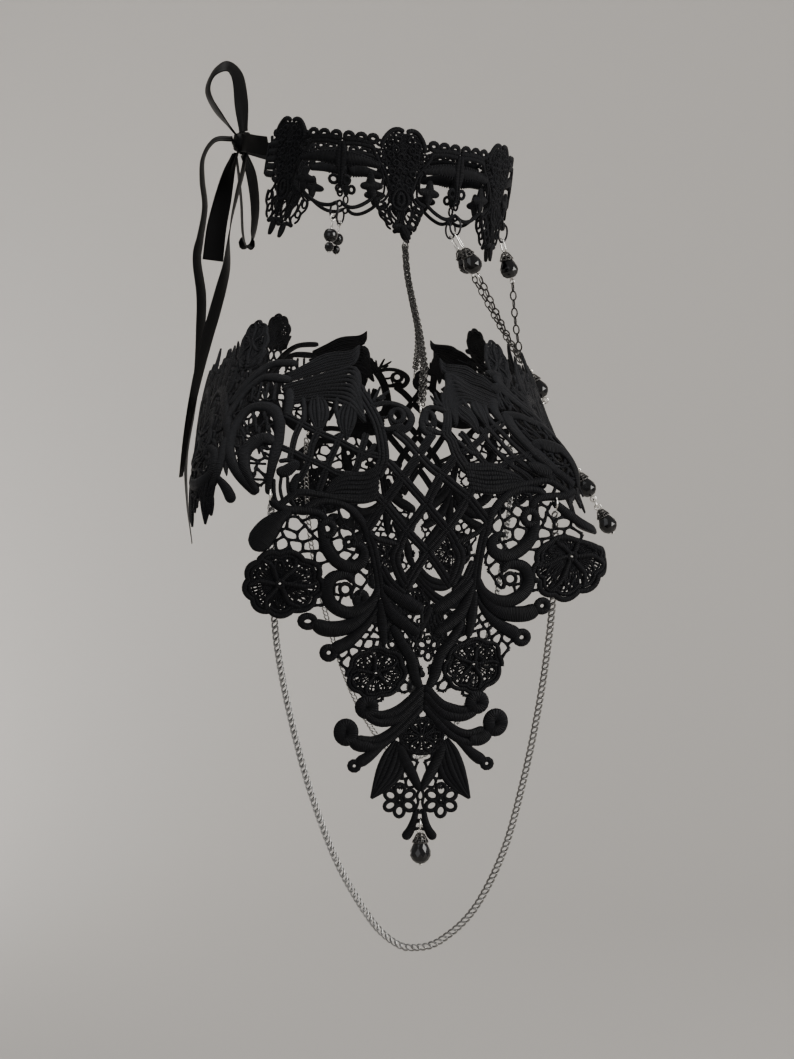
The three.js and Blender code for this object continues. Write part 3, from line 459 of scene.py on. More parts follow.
def tone_between(tree, factor, dark, light):
    """A colour from dark to light by a factor."""
    mix = added(tree, "Mix")
    mix.data_type = "RGBA"
    mix.inputs["A"].default_value = (*dark, 1)
    mix.inputs["B"].default_value = (*light, 1)
    tree.links.new(factor, mix.inputs["Factor"])
    return mix.outputs["Result"]


def ranged(tree, factor, low, high):
    """A value from low to high by a factor."""
    spread = added(tree, "MapRange", To_Min=low, To_Max=high)
    tree.links.new(factor, spread.inputs["Value"])
    return spread.outputs["Result"]


def satin_stitch_group():
    """Ridges of thread across a cord, with a loose end here and there."""
    group = bpy.data.node_groups.new("satin_stitch", "ShaderNodeTree")
    group.interface.new_socket("Pitch", in_out="INPUT", socket_type="NodeSocketFloat")
    group.interface.new_socket("Height", in_out="OUTPUT", socket_type="NodeSocketFloat")
    group.interface.new_socket("Tone", in_out="OUTPUT", socket_type="NodeSocketFloat")
    nodes, links = group.nodes, group.links
    given, result = nodes.new("NodeGroupInput"), nodes.new("NodeGroupOutput")
    stitch = nodes.new("ShaderNodeAttribute")
    stitch.attribute_name = "stitch"
    parts = nodes.new("ShaderNodeSeparateXYZ")
    links.new(stitch.outputs["Vector"], parts.inputs["Vector"])

    def math_node(operation, *values):
        node = nodes.new("ShaderNodeMath")
        node.operation = operation
        for socket, value in zip(node.inputs, values):
            if isinstance(value, (int, float)):
                socket.default_value = value
            else:
                links.new(value, socket)
        return node.outputs[0]

    noise = added(group, "TexNoise", Scale=1.1, Detail=3)
    links.new(stitch.outputs["Vector"], noise.inputs["Vector"])
    slanted = math_node("MULTIPLY_ADD", parts.outputs["Y"], 0.3, parts.outputs["X"])
    wobbled = math_node("MULTIPLY_ADD", noise.outputs["Fac"], 0.5, slanted)
    turns = math_node("DIVIDE", math_node("MULTIPLY", wobbled, 2 * math.pi), given.outputs["Pitch"])
    wave = math_node("SINE", turns)
    links.new(math_node("MULTIPLY_ADD", wave, 0.5, 0.5), result.inputs["Height"])
    links.new(noise.outputs["Fac"], result.inputs["Tone"])
    return group


satin_stitch = satin_stitch_group()


def thread_material(name, dark, light, pitch, strength):
    """Rayon thread: almost black, with a soft blue-grey shine painted into its colour along each ridge as a
    painted highlight, and a faint real sheen.
    """
    material, tree, shader = new_material(name, dark, 0.62)
    group = added(tree, "Group")
    group.node_tree = satin_stitch
    group.inputs["Pitch"].default_value = pitch
    # Painted highlight: where the noise lets it, the colour turns from dark to the lighter blue-grey on the
    # top of each stitch ridge, standing in for light on the thread
    painted_ridge_shine = added(tree, "Math")
    painted_ridge_shine.operation = "MULTIPLY"
    tree.links.new(group.outputs["Height"], painted_ridge_shine.inputs[0])
    tree.links.new(group.outputs["Tone"], painted_ridge_shine.inputs[1])
    tree.links.new(tone_between(tree, painted_ridge_shine.outputs[0], dark, light), shader.inputs["Base Color"])
    tree.links.new(ranged(tree, group.outputs["Tone"], 0.72, 0.48), shader.inputs["Roughness"])
    bump = added(tree, "Bump", Strength=strength, Distance=0.00025)
    tree.links.new(group.outputs["Height"], bump.inputs["Height"])
    tree.links.new(bump.outputs["Normal"], shader.inputs["Normal"])
    shader.inputs["Sheen Weight"].default_value = 0.03
    shader.inputs["Sheen Roughness"].default_value = 0.4
    shader.inputs["Sheen Tint"].default_value = (0.5, 0.55, 0.7, 1)
    shader.inputs["Specular IOR Level"].default_value = 0.13
    return material


# Near-black thread; its second, blue-grey colour is a painted highlight on the ridge tops
lace_thread = thread_material("lace_thread", (0.0022, 0.0022, 0.0026), (0.0085, 0.009, 0.012), 0.62, 0.8)

half, back_only, front_only = Stitching(), Stitching(), Stitching()
# Lattice over the shoulder's point
for bar in [
    [(0, -109), (7, -117.2), (15.7, -126.8), (22.6, -136.6)],
    [(0, -109), (4, -104.3), (8.6, -100.4)],
    [(0, -127), (7.6, -136.8), (10.8, -142.4)],
    [(0, -127), (7, -117.2), (12.2, -111.2)],
    [(0, -145), (7.6, -136.8), (15.7, -126.8), (18.4, -123.6)],
    [(0, -145), (4.4, -151.4), (8.8, -159)],
]:
    half.double(bar, 3.2)
half.cord([(10.4, -142), (14.5, -141.4), (19, -140), (23, -137)], 2.2)
# Stems down to the fans
half.ribs([(20, -84), (15.6, -91), (12.6, -97.6), (11.2, -104), (11, -109), (12, -113), (15, -117.4)],
          [(23.6, -86), (19, -93), (16.2, -98.6), (15.2, -104), (15, -109), (16.4, -112.2), (18.6, -116)], 3)
half.double([(22.8, -137), (20.8, -143), (19.7, -149), (18.8, -155), (18.2, -163)], 3.4)
half.double([(10, -141.6), (12.4, -147), (11, -153), (8.2, -158.4)], 3.8)
half.double([(17.6, -150.6), (14.4, -156.6), (9.4, -161.2)], 3.2)
# Crook at the notch
half.cord([(18, -92.6), (13, -90.9), (8, -91.3), (4, -93.8), (2.7, -97), (4.6, -100), (8.2, -101.2)], 3.1)
half.loop((7.6, -95.3), 2.3, 2.3, lift=0.1)
half.cord([(5.2, -98.6, 3.6), (8, -99.4, 3.4), (11.4, -100, 2.4), (14, -98.8, 2)])
half.cord([(9.4, -93), (10.8, -95.6), (14, -96)], 1.3)
half.cord([(10.6, -96), (9.6, -98.6)], 1.2)
for spike in [[(16, -90.6, 2), (13.6, -84.9, 0.9)], [(15, -89.8, 1.8), (10.2, -86.3, 0.8)],
              [(17.4, -89.6, 2), (17.6, -85.6, 0.9)], [(19, -88, 2), (19.6, -84.6, 1)],
              [(14, -90, 1.6), (11.6, -88.6, 1)]]:
    half.cord(spike)
# Leaf with its arches over the shoulder
half.ribs([(22.4, -69.6), (26, -72), (35, -73), (42, -76.8), (49, -80.4)],
          [(22.4, -72.6), (24, -77), (32, -79), (41, -81.6), (49, -84)], 7, 1.6)
half.ribs([(20.4, -89), (23, -78), (31, -79), (40, -81.8), (51, -85)],
          [(18.6, -98), (24, -92.6), (31, -90.4), (38, -90.6), (45, -91.6)], 9, 1.6)
half.leaf((23.6, -90), (25.8, -103.8), 7.8, 0.8)
half.leaf((36, -88), (35.6, -101.4), 8.4, -0.6)
half.cord([(28.6, -89), (29, -93), (28, -97)], 2)
half.cord([(41, -89), (40.4, -94), (41, -98.4)], 2.2)
half.cord([(47, -86, 4.4), (46.2, -91, 4.2), (47.4, -96, 3.6)])
# Net of bars inside the crook
for bar in [
    [(15, -109.6), (21.6, -108), (28, -104.6), (36, -101.2), (43, -97.6), (48.4, -95.2)],
    [(24.6, -116.4), (31.8, -115.6), (36.4, -113), (42, -110.8), (47.4, -108.4), (53, -106.4)],
    [(18.6, -101.4), (20.2, -106), (22.4, -110.8), (25, -115.6)],
    [(27.4, -101.6), (29.4, -105.2), (31.8, -108.8), (34.6, -112.8), (37.2, -117.4), (40.4, -123)],
    [(34.8, -99.6), (38.6, -105.2), (40.6, -109.8), (43.2, -113.8), (46.6, -118.4)],
    [(40.8, -96.6), (45, -103), (47.4, -107.8), (49.6, -112)],
]:
    half.double(bar, 2.5)
half.cord([(15.4, -105), (19, -109.4), (23.4, -111.6)], 2.2)
half.cord([(45.6, -112.6), (49.4, -111.4), (53.6, -111.8)], 2.0)
# Padded leaf under the net
half.ribs([(14.6, -112.6), (20.6, -115), (28, -115.4), (33, -118), (37, -122.4)],
          [(17, -123.2), (23.4, -125.2), (30.6, -125), (35, -124.6), (38.4, -124.2)], 6)
half.cord([(17, -124), (24, -125.6), (32, -125), (40, -123.6), (47, -123), (51, -125.6), (55, -128.6)], 2.9)
# Crook of the wing, one curl within another, with rungs between them
half.cord([(58, -124, 3.2), (57.8, -118, 3.2), (56.2, -112.6, 4), (54, -108, 5), (51.6, -103, 4.4),
           (50.6, -97.4, 4.8), (53, -93.6, 5.4), (58, -92.6, 5.8), (63.6, -93.6, 5.6), (68.8, -97.4, 5.2),
           (72.4, -102.6, 5), (73.6, -108, 4.6), (71.8, -114, 4.4), (67.8, -119, 4), (62.6, -123.8, 3.4)])
half.cord([(53.6, -105.6, 4.4), (57.6, -104, 6), (62.4, -105.6, 7), (66.6, -109, 5.8), (67.4, -113.8, 4.6),
           (65.4, -118.8, 3.6), (62.2, -123.6, 3)], lift=0.15)
for rung in [[(61, -95.6), (60.6, -102)], [(67.8, -100.6), (65.8, -104)], [(71.8, -106.8), (69, -107.6)],
             [(71.4, -113.2), (68.4, -112.6)], [(58.6, -112.9), (65.6, -112.7)],
             [(58.8, -118.5), (65, -118.3)], [(55.6, -96), (56, -101.6)], [(56.6, -110), (59, -108.8)]]:
    half.cord(rung, 1.1)
half.cord([(45.6, -112.4, 2.6), (48.4, -113.6, 4.8), (51.8, -115.4, 5.4), (55, -115, 3.6)], lift=0.1)
half.cord([(46, -116, 3), (48.4, -119.6, 3.4), (48.8, -123.6, 2.8)])
for slat in [[(53, -116), (53.6, -122), (51.6, -129)], [(56, -118), (55.8, -124), (54, -129)],
             [(50.8, -117), (50.4, -123.4), (48, -129)]]:
    half.cord(slat, 1.4)
half.cord([(57.8, -125.8, 3.4), (52, -129.2, 3.6), (46, -129.6, 3.4), (41, -130.4, 3), (38.2, -133, 3.2)])
# Upper edge of the wing
half.cord([(46, -77, 5), (52, -76.8, 5.6), (58, -77.6, 5.2), (64, -81, 4.6), (70, -86.4, 4.4), (76, -93, 4)],
          lift=0.1)
half.cord([(47, -83.2, 5), (54, -82.2, 5.6), (60, -82.4, 5), (66, -86, 4.6), (72, -92, 4.4), (77, -99, 4)])
for rung in [[(53.2, -84), (53, -90.6)], [(56.8, -84), (56.6, -90.6)], [(60, -84), (60.4, -90.6)],
             [(64, -85), (63.4, -91)]]:
    half.cord(rung, 1.3)
half.flower((73, -70), 10.6, 9.8, 8)
half.leaf((71, -79), (62, -72), 5.4)
# Scroll with its eyelet
half.cord([(22, -140, 2.6), (24.6, -133.6, 3.2), (29.4, -128.4, 3.2), (35, -126.2, 3), (41, -126.4, 3),
           (45.6, -129, 3)])
half.loop((37.8, -136.3), 2.5, 3.0, lift=0.15)
half.cord([(40.2, -134, 3), (39.6, -139, 4), (38, -144.4, 5), (34.4, -149, 5.2), (29.4, -150.8, 5),
           (25, -148.6, 4.8), (24, -144.6, 4), (26.4, -142.2, 3), (29, -142.8, 2)])
# Long paddle under the crook, which lies over more to the side in front
back_only.cord([(49, -129.6, 3), (53.4, -132.2, 5.4), (57.4, -136, 8.8), (60.8, -140.2, 9.8), (64, -145, 9)],
               lift=0.1)
front_only.cord([(50.4, -126.6, 3), (56, -131, 3.6), (62, -135.2, 3.8), (70, -138.2, 4.4), (78, -138.8, 5),
                 (86, -138.4, 4.4)], lift=0.1)
# Large netted flower
half.flower((53.8, -157.6), 15, 13.4, -12, petals=6, veins=44)
# Second scroll
half.cord([(18.8, -158, 2.6), (21, -163.4, 3.6), (25.4, -167.4, 4.8), (31.4, -168.4, 5.2), (37, -165, 5.4),
           (38.8, -159.4, 5.4), (36.2, -154.8, 4.8), (31, -154, 3.8), (28.4, -156.8, 2.4)])
half.loop((31.6, -159.4), 2.2, 1.7)
half.cord([(28.8, -163.4), (29.4, -160.6), (27.6, -157)], 1.8)
# Fans
half.cord([(17.6, -157.6, 2.4), (12.6, -161.6, 4.8), (7, -165, 5.6), (1.8, -167.8, 3.6)])
half.cord([(17.8, -160, 2.2), (14, -168, 4.8), (9, -172.6, 5.2), (2.8, -176.6, 3.6)])
half.cord([(18.2, -163, 2.4), (17.2, -172, 4.2), (16, -181, 2.8)])
half.cord([(13.6, -173, 3), (9.6, -180, 4.2), (5.6, -186.4, 4.6), (4, -192.6, 4.4), (1.6, -198, 3)])
half.cord([(18.8, -166, 1.4), (23.4, -173.4, 3.4), (29.4, -179.6, 4.8), (36.2, -183.6, 6)])
half.loop((37.2, -184.3), 2.2, 3.0, lift=0.15)
half.cord([(19, -162, 1.6), (23.6, -168.6, 4.4), (30, -173.8, 6), (38, -175, 6.4), (43.6, -172.9, 6)])
half.loop((44.8, -172.1), 2.1, 2.9, lift=0.15)
# Small netted flower
half.flower((18.7, -192), 12, 10.6, -8, petals=5, veins=32, rows=(0.28, 0.42, 0.56, 0.7))
# Ribbed scrolls of the point
half.ribs([(0, -195.4), (4.8, -201), (10, -205.4), (15.6, -207.4), (19.6, -206.4)],
          [(0, -200.6), (4.6, -206.6), (9.6, -211.6), (16.6, -213), (22.4, -210)], 2)
half.loop((21.6, -205.6), (2.3, 2.4), 4.9, lift=0.15)
half.ribs([(0, -200.8), (5.6, -207.4), (12.4, -214.2), (18.6, -217.4), (24.6, -217)],
          [(0, -205.6), (5, -212), (11.6, -219), (18, -222.6), (27, -221.6)], 2)
half.cord([(18.6, -220.6, 4.6), (23.4, -220.8, 5.4), (27.6, -219, 5.4)], lift=0.1)
half.loop((29.2, -215.6), (2.4, 3.1), 5.2, lift=0.15)
half.cord([(10, -216, 1.4), (15.6, -221.2, 2.8), (20.6, -225.4, 4.4), (25, -228.4, 5)])
half.loop((25.8, -229), 1.7, 2.3, lift=0.15)
# Drooping leaves
half.leaf((8.8, -219), (19, -242), 10.8, -1.8)
half.cord([(8.8, -220, 4), (6.2, -226.6, 4.6), (3.2, -232.6, 4.2), (0.2, -238.6, 2.6)])
# Rosette, daisy and tails
half.flower((0, -217), 9, 7.6, 0, petals=6, veins=28, rows=(0.3, 0.44, 0.58, 0.72))
for i in range(6):
    angle = math.radians(60 * i + 30)
    half.loop((8 + 4.1 * math.cos(angle), -242.6 + 4.2 * math.sin(angle)), (2.35, 1.9), 1.75, 60 * i + 30)
half.loop((8, -242.6), 0.9, 1.5)
half.cord([(0.3, -238, 1.6), (1.3, -240.6, 1.3), (0.8, -243.4, 1.3), (1.6, -246, 1.5), (1.5, -248, 2)])
half.cord([(1.5, -246.6, 2.2), (2.2, -250.6, 2.8), (3.6, -254.6, 3.6), (6, -258.2, 4.4)])
for z in (-242.2, -246.4):
    half.cord([(0, z), (1.2, z - 0.2)], 1.3)
half.cord([(0, -250.2), (2.2, -251.6)], 1.8)
half.cord([(0, -253.6), (2.8, -254.4)], 1.4)
half.loop((0, -249.3), 1.9, 1.2)
# Wing: a flower between two scrolls with leaves above and below, three times
for mid, level, scale, seed in [(94, -105, 0.98, 1), (137, -107, 0.98, 2), (178, -111, 0.8, 3)]:
    def at(points):
        return [(mid + p[0] * scale, level + p[1] * scale, *[w * scale for w in p[2:]]) for p in points]

    half.flower((mid, level), 11.5 * scale, 11 * scale, 20 * seed)
    scroll = [(-21.5, -6, 3), (-19, 6, 4.6), (-10, 15, 5), (3, 17.4, 5), (13, 12.6, 4.8), (14.6, 5, 4),
              (10.4, 2.6, 3)]
    half.cord(at(scroll))
    half.cord(at([(-x, -y, w) for x, y, w in scroll]))
    for base, tip, width, bow in [((-2, 17), (3, 35), 9, 1.2), ((8, 16), (16, 28), 7, -1),
                                  ((-10, 14.6), (-15, 27), 7, 1), ((2, -17), (-3, -34), 9, 1.2),
                                  ((-8, -16), (-14, -28), 7, -1), ((10, -14.6), (16, -28), 7, 1)]:
        half.leaf(*at([base, tip]), width * scale, bow)
    half.cord(at([(15, 12, 2), (19.4, 17, 4), (22.4, 22.6, 5)]))
    half.cord(at([(-15, -12, 2), (-19.4, -17, 4), (-22.4, -22.6, 5)]))
half.leaf((80, -112), (83, -136), 7, 1)
half.cord([(75, -104, 4), (77, -112, 4), (80.4, -122, 3.4)])
half.double([(196, -94), (203, -99), (206, -112), (205, -124), (198, -133)], 3.8)
half.double([(206, -99), (209, -108), (209.4, -116), (208.6, -124), (206, -132)], 3.2)
half.leaf((200, -106), (196, -94), 5)
half.leaf((200, -122), (196, -134), 5)
for z in (-100.9, -130):
    half.loop((210.3, z), 2.5, 1.5)
# Brides between the motifs
for border, cell, seed in [
    ([(20, -139), (25, -130), (34, -124), (47, -129), (55, -136), (62, -146), (66, -158), (58, -168),
      (44, -168), (36, -166), (22, -162), (19, -150)], 5.6, 11),
    ([(1, -169), (9, -165), (17, -162), (27, -170), (36, -184), (28, -198), (20, -205), (10, -201), (0, -197),
      (0, -178)], 4.6, 12),
    ([(0, -204), (7, -210), (9, -221), (14, -229), (11, -238), (0, -242)], 4.4, 13),
    ([(50, -88), (60, -84), (68, -84), (76, -97), (74, -112), (64, -122), (57, -122), (54, -104)], 5.6, 14),
    ([(60, -76), (70, -74), (88, -74), (92, -90), (80, -100), (70, -88)], 6, 15),
    ([(76, -96), (84, -78), (98, -73), (110, -72), (120, -80), (134, -76), (148, -88), (164, -84), (182, -98),
      (202, -98), (208, -116), (202, -130), (184, -128), (166, -134), (150, -130), (130, -138), (112, -134),
      (96, -138), (86, -130), (78, -114)], 6.4, 16),
    ([(11, -143), (19, -141), (19, -158), (13, -158), (12, -150)], 5.2, 17),
]:
    half.net(border, cell, 1.15, seed)

# How far the front half lies from the back one: place on the back half, then across and up
FRONT_PULL = np.array([
    (0, -92, 0, 0), (0, -110, 0, 0), (0, -130, 0, 0), (0, -150, 0, 0), (0, -175, 0, 0), (0, -200, 0, 0),
    (0, -225, 0, 0), (0, -250, 0, 0), (8, -96, -2.6, -0.9), (14, -95, -1.4, -2.2), (15, -86, -4, -2),
    (22.6, -69.6, -7.8, -5), (35, -73, -0.8, -5), (46, -79, 0.4, -4), (21, -86, -2.8, 0), (26, -103, 1.6, 2),
    (13, -110, 1.8, 1.4), (28, -110.6, 0.8, 2.2), (35, -107, -2.2, 2), (42, -104.6, -4, -0.5),
    (47, -102, -5.6, -2.6), (56, -104, -6, -2), (25, -120, 0, 3.6), (61, -140, 4, 2.4), (47, -130, 0, 5),
    (36, -126, 0.7, 4.4), (38, -136, 1.4, 4), (54, -157, 1, 10.4), (32, -160, -0.6, 4), (46, -172, -1, 6),
    (37, -184, -0.6, 6), (19, -192, 0, 3.5), (21, -206, -1, 2), (28, -215, -1, 4), (25, -229, -0.5, 1),
    (18, -241, 0, 0), (62, -92, -8, -3), (72, -106, -6, 0), (73, -70, -16, -8), (97, -72, -16, -6),
    (94, -105, -6, 0), (120, -108, -6, 0), (150, -110, -3, 0), (210, -115, 0, 0),
], float)
# How far the whole point leans to the front at each height
LEAN = np.array([(-253, -0.4), (-242, 0), (-217, 0.5), (-203, 1.1), (-176, 2.4), (-160, 3), (-137, 2.3),
                 (-127, 2), (-117, 0), (-107, -0.8), (-95, -0.4), (-60, -0.4)])


def on_half(line, front):
    """A drawn line on the front or the back half of the lace."""
    x, y = line[:, 0], line[:, 1]
    near = (x[:, None] - FRONT_PULL[:, 0]) ** 2 + (y[:, None] - FRONT_PULL[:, 1]) ** 2 + 6
    weight = near**-2
    pull = (weight @ FRONT_PULL[:, 2:]) / weight.sum(1)[:, None]
    lean = np.interp(y, LEAN[:, 0], LEAN[:, 1]) * (1 - eased(np.abs(x), *((78, 110) if front else (40, 52))))
    placed = line.copy()
    placed[:, 0] = (x + pull[:, 0] if front else -x) + lean
    placed[:, 1] = y + (pull[:, 1] if front else 0)
    return placed


def in_two(name, node, lines, surface, padded_from=1.8, made=None):
    """Lace as two pieces: its thin ground and the padded cords sewn over it.

    They are made from the drawn lines, or mirrored from the two that are made already.
    """
    if made is None:
        thin = [row for row in lines if row[0][:, 2].max() < padded_from]
        thick = [row for row in lines if row[0][:, 2].max() >= padded_from]
        ground = sewn_lace(name + "_ground", thin, surface, lace_thread, 1)
        padding = sewn_lace(name + "_padding", thick, surface, lace_thread, 2)
    else:
        ground = other_side(made[0], name + "_ground")
        padding = other_side(made[1], name + "_padding")
    for piece in (ground, padding):
        fitted(piece, node)
    return ground, padding


lace_lines = [(on_half(line, front), lift) for line, lift in half.lines for front in (True, False)]
lace_lines += [(on_half(line, False), lift) for line, lift in back_only.lines] + front_only.lines
# The right applique from the drawn lines, and the left one mirrored from it
lace_right = in_two("lace_applique_right", "shoulder_lace_right", lace_lines, shoulder)
in_two("lace_applique_left", "shoulder_lace_left", None, None,
       made=lace_right)

# Choker: the same guipure as a band round the neck, six medallions and five windows between them.
# Half a window and half a medallion are drawn, in mm from their own middles, and repeated.
PERIOD = 50.9
NECK_RADIUS = 55
NECK_HALF_WIDTH = 53
NECK_HALF_DEPTH = 57.5
# How much the neck narrows, leans and dips for each mm
NECK_TAPER = 0.0006
NECK_LEAN = 0.157
NECK_DIP = 0.12


def neck(along, height):
    """Points on the neck, along positive to the wearer's left, in mm."""
    angle = along / NECK_RADIUS
    grow = 1 - NECK_TAPER * height
    depth = -NECK_HALF_DEPTH * np.cos(angle)
    return np.stack([
        NECK_HALF_WIDTH * grow * np.sin(angle),
        depth * grow - NECK_LEAN * height + 1.5,
        height + NECK_DIP * depth,
    ], 1)


window = Stitching()
window.cord([(0, 15.1), (6, 15.4), (13.2, 14.4)], 2.7)
window.cord([(0, 13.1), (5, 13.7), (10, 13.5), (13.8, 12.6)], 2.3)
for x in (2.7, 7.9, 12.8):
    window.loop((x, 16.5), (1.75, 1.5), 2.1, lift=0.1)
window.cord([(0.4, 6.8, 6.4), (4, 7.2, 6), (8.6, 7.1, 5), (13, 6.4, 4), (17, 5.6, 3.2)])
for i in range(13):
    x = 0.8 + 1.25 * i
    window.cord([(x, 10.5 - 0.012 * x * x), (x, 3.5 + 0.02 * x * x - 0.0006 * x**3)], 0.95, lift=0.35)
window.cord([(0.5, 14.4, 1.6), (0.9, 10, 2.4), (1, 6.6, 2.8), (0.8, 3, 2.4), (0.5, 0, 1.2), (0.45, -4, 1)],
            lift=0.5)
window.loop((2.5, -2), (1.5, 1.7), 1.6)
window.cord([(0.4, 0, 2), (0.4, -3, 2), (0.4, -5, 1.4)])
window.loop((0, -7), (1.0, 1.9), 1.0)
window.loop((0, -12), (1.0, 1.3), 1.1)
window.cord([(0.6, -11.2), (3.2, -12.9), (6.8, -13), (10.4, -11.4), (13.4, -8.8), (15.2, -5.8)], 1.75)
window.cord([(13.2, 2.2, 2.4), (13.1, 0, 3.4), (13.3, -3, 5), (13.7, -6, 3.8), (13.9, -8.4, 2.8)], lift=0.1)
window.cord([(8.6, -3.6, 2.6), (10.6, -3.4, 3.4), (13.4, -3, 4.6), (16.2, -3, 3.4), (18.2, -2.8, 2.6)],
            lift=0.15)
window.cord([(14.4, -9.4, 2), (17, -8.2, 1.6), (19.2, -6, 1.5)])
window.cord([(16.8, 5, 1.4), (18, 1.4, 1.2), (17.6, -2.6, 1.2)])

medallion = Stitching()
medallion.cord([(0.5, 20.6), (2.1, 21.6), (4.8, 21.2), (7.1, 18.8), (8.6, 15.8), (8.8, 13)], 2.2, lift=0.15)
medallion.curls([(-1, 20), (2, 20.6), (5, 20), (7.6, 17.4), (8.6, 14), (7.6, 10.6), (6, 7), (5, 3.6),
                 (4.4, 0), (4.4, -4), (4.2, -9), (2.6, -12.4), (-1, -12.4)], 2.2, 1.4, 5)
for x, y, r in [(2.6, 17.4, 1.3), (5.6, 15.6, 1.3), (3.4, 13.2, 1.3), (1.1, 10.4, 1.2), (5.2, 10.8, 1.3),
                (2.9, 7.6, 1.3), (4.2, 3.8, 1.2), (1.3, 4.6, 1.2), (2.7, 0.6, 1.2), (1.2, -2, 1.1),
                (3.4, -3, 1.1)]:
    medallion.loop((x, y), r, 1.2, lift=0.35)
medallion.loop((9.8, 15.2), 1.1, 1.5)
medallion.loop((9.2, 11.6), 1.0, 1.3)
medallion.loop((7.6, 8.4), 1.0, 1.3)
medallion.loop((6, 5.2), 0.95, 1.2)
medallion.loop((10.4, 8), 0.8, 1.2)
medallion.cord([(12.6, 14, 1.8), (11.4, 10.4, 1.6), (8.8, 6.6, 1.6), (6.4, 2.4, 1.6), (5, -2, 1.5),
                (4.6, -6, 1.4)])
medallion.loop((0, -7.6), (1.3, 2.7), 1.7, lift=0.4)
medallion.loop((0, -8), (3.3, 4.9), 1.5, lift=0.3)
medallion.cord([(4.4, -0.6), (4.9, -5), (6.4, -8.4), (8.4, -10.2)], 1.3)
medallion.loop((7.9, -11.6), (1.3, 1.9), 1.15)
medallion.loop((5.6, -16.6), (1.3, 1.7), 1.15)
medallion.cord([(9.2, -9), (9.6, -11.6), (9, -14.2), (7.2, -16.4), (6.6, -19.4), (5, -21.2)], 1.2)
medallion.cord([(3.4, -11.4), (4.6, -13.2), (4, -16.4), (2.6, -19), (3.6, -21.4)], 1.15)
medallion.cord([(6.4, -9.4), (5.4, -12.4), (5.2, -14.8)], 1.1)
medallion.cord([(1.3, -12.4), (1.2, -16), (1.9, -19), (3.6, -21.4)], 1.15)
medallion.cord([(0.4, -12.4), (0.4, -20.6)], 1.0)
medallion.cord([(0.3, -21.4, 2.8), (2.4, -21.6, 2.2), (4.6, -22.4, 3)])
medallion.cord([(0.35, -20.8, 2.2), (0.45, -24, 2.6), (0.4, -26.4, 2.2), (0.3, -28.4, 1)], lift=0.1)

# How far the choker's lace is pulled to the front, at places along it from the front to the back
# and at five heights from the tips up
PULLED_AT = ([0, 25, 51, 76, 88, 102, 115, 127, 142], [-28, -23, -11, 0, 20])
PULLED = [(0, 0, 0, 0, 0), (2, 1.4, 0, 0, -0.8), (3, 2, 0, -0.8, -1.8), (6.2, 3.6, 0.6, -0.2, -1.7),
          (4, 3, 1, -0.4, -1.8), (3, 2.6, 1.8, 0.5, -1.8), (-1, -0.6, -0.8, -2.6, -1.8),
          (-3.6, -2.2, 0.2, 0, -1.7), (-2, -1.4, 0, 0, -1.6)]


def on_neck(line, middle, mirror):
    """A drawn line at its place along the choker."""
    placed = line.copy()
    along = middle + mirror * line[:, 0]
    rows = [np.interp(line[:, 1], PULLED_AT[1], row) for row in PULLED]
    pull = [np.interp(place, PULLED_AT[0], column) for place, column in zip(np.abs(along), np.array(rows).T)]
    placed[:, 0] = along - np.sign(along) * pull
    short = np.interp(np.abs(along), [56, 66, 87, 97], [1, 0.77, 0.77, 1])
    placed[:, 1] = np.where(line[:, 1] < -8, -8 + (line[:, 1] + 8) * short, line[:, 1])
    return placed


choker_lines = []
for i in range(-2, 3):
    for mirror in (1, -1):
        choker_lines += [(on_neck(line, i * PERIOD, mirror), lift) for line, lift in window.lines]
for i in (-2.5, -1.5, -0.5, 0.5, 1.5, 2.5):
    for mirror in (1, -1):
        choker_lines += [(on_neck(line, i * PERIOD, mirror), lift) for line, lift in medallion.lines]
for mirror in (1, -1):
    strap = Stitching()
    for height in (11, 7.6, 4.2, 0.8, -2.6):
        strap.cord([(134, height), (138, height * 0.96), (141.4, height * 0.9)], 3.1)
    strap.cord([(141, 11), (141.2, 4), (141, -3)], 1.8, lift=0.2)
    choker_lines += [(line * [mirror, 1, 1], lift) for line, lift in strap.lines]
in_two("lace_choker", "choker_lace", choker_lines, neck, 1.55)

# Chains: round wire links closed one by one. The swag chains are close steel curb chains that look
# like rope, the shoulder ones open gunmetal curb chains, and the front ones plain cable chains.
def tubes(name, paths, material, resolution):
    """One piece of many round wires; each path is its points and radius in mm and whether it closes."""
    return capped(name, tube_mesh(name, paths, resolution), material)


def along_route(route, count=400):
    """Evenly spaced points and directions on a smooth line through a route."""
    rows = curve_through(np.array(route, float), 24)
    travel = np.concatenate([[0], np.cumsum(np.linalg.norm(np.diff(rows, axis=0), axis=1))])
    places = np.linspace(0, travel[-1], count)
    points = np.stack([np.interp(places, travel, rows[:, i]) for i in range(3)], 1)
    ways = np.gradient(points, axis=0)
    return points, ways / np.linalg.norm(ways, axis=1)[:, None]


def oval(center, way, side, half_long, half_wide, count=12):
    """Points of a link that lies along one direction and spreads along another."""
    angle = 2 * math.pi * (np.arange(count) + 0.5) / count
    return center + np.outer(half_long * np.cos(angle), way) + np.outer(half_wide * np.sin(angle), side)


# Links of each kind: pitch, half length, half width and wire radius in mm, then in degrees the
# turns of the even and the odd links, their tilt out of the chain and their lean across it
LINKS = {
    "rope": (2.3, 1.85, 0.95, 0.4, (12, 12), 22, 18),
    "curb": (2.6, 1.9, 1.08, 0.27, (-14, 40), 0, 12),
    "cable": (3.7, 2.1, 1.3, 0.38, (15, 105), 0, 0),
}
LINK_STEPS = 10


def turned(one, other, degrees):
    """Two square directions turned in their own plane."""
    c, s = math.cos(math.radians(degrees)), math.sin(math.radians(degrees))
    return one * c + other * s, other * c - one * s


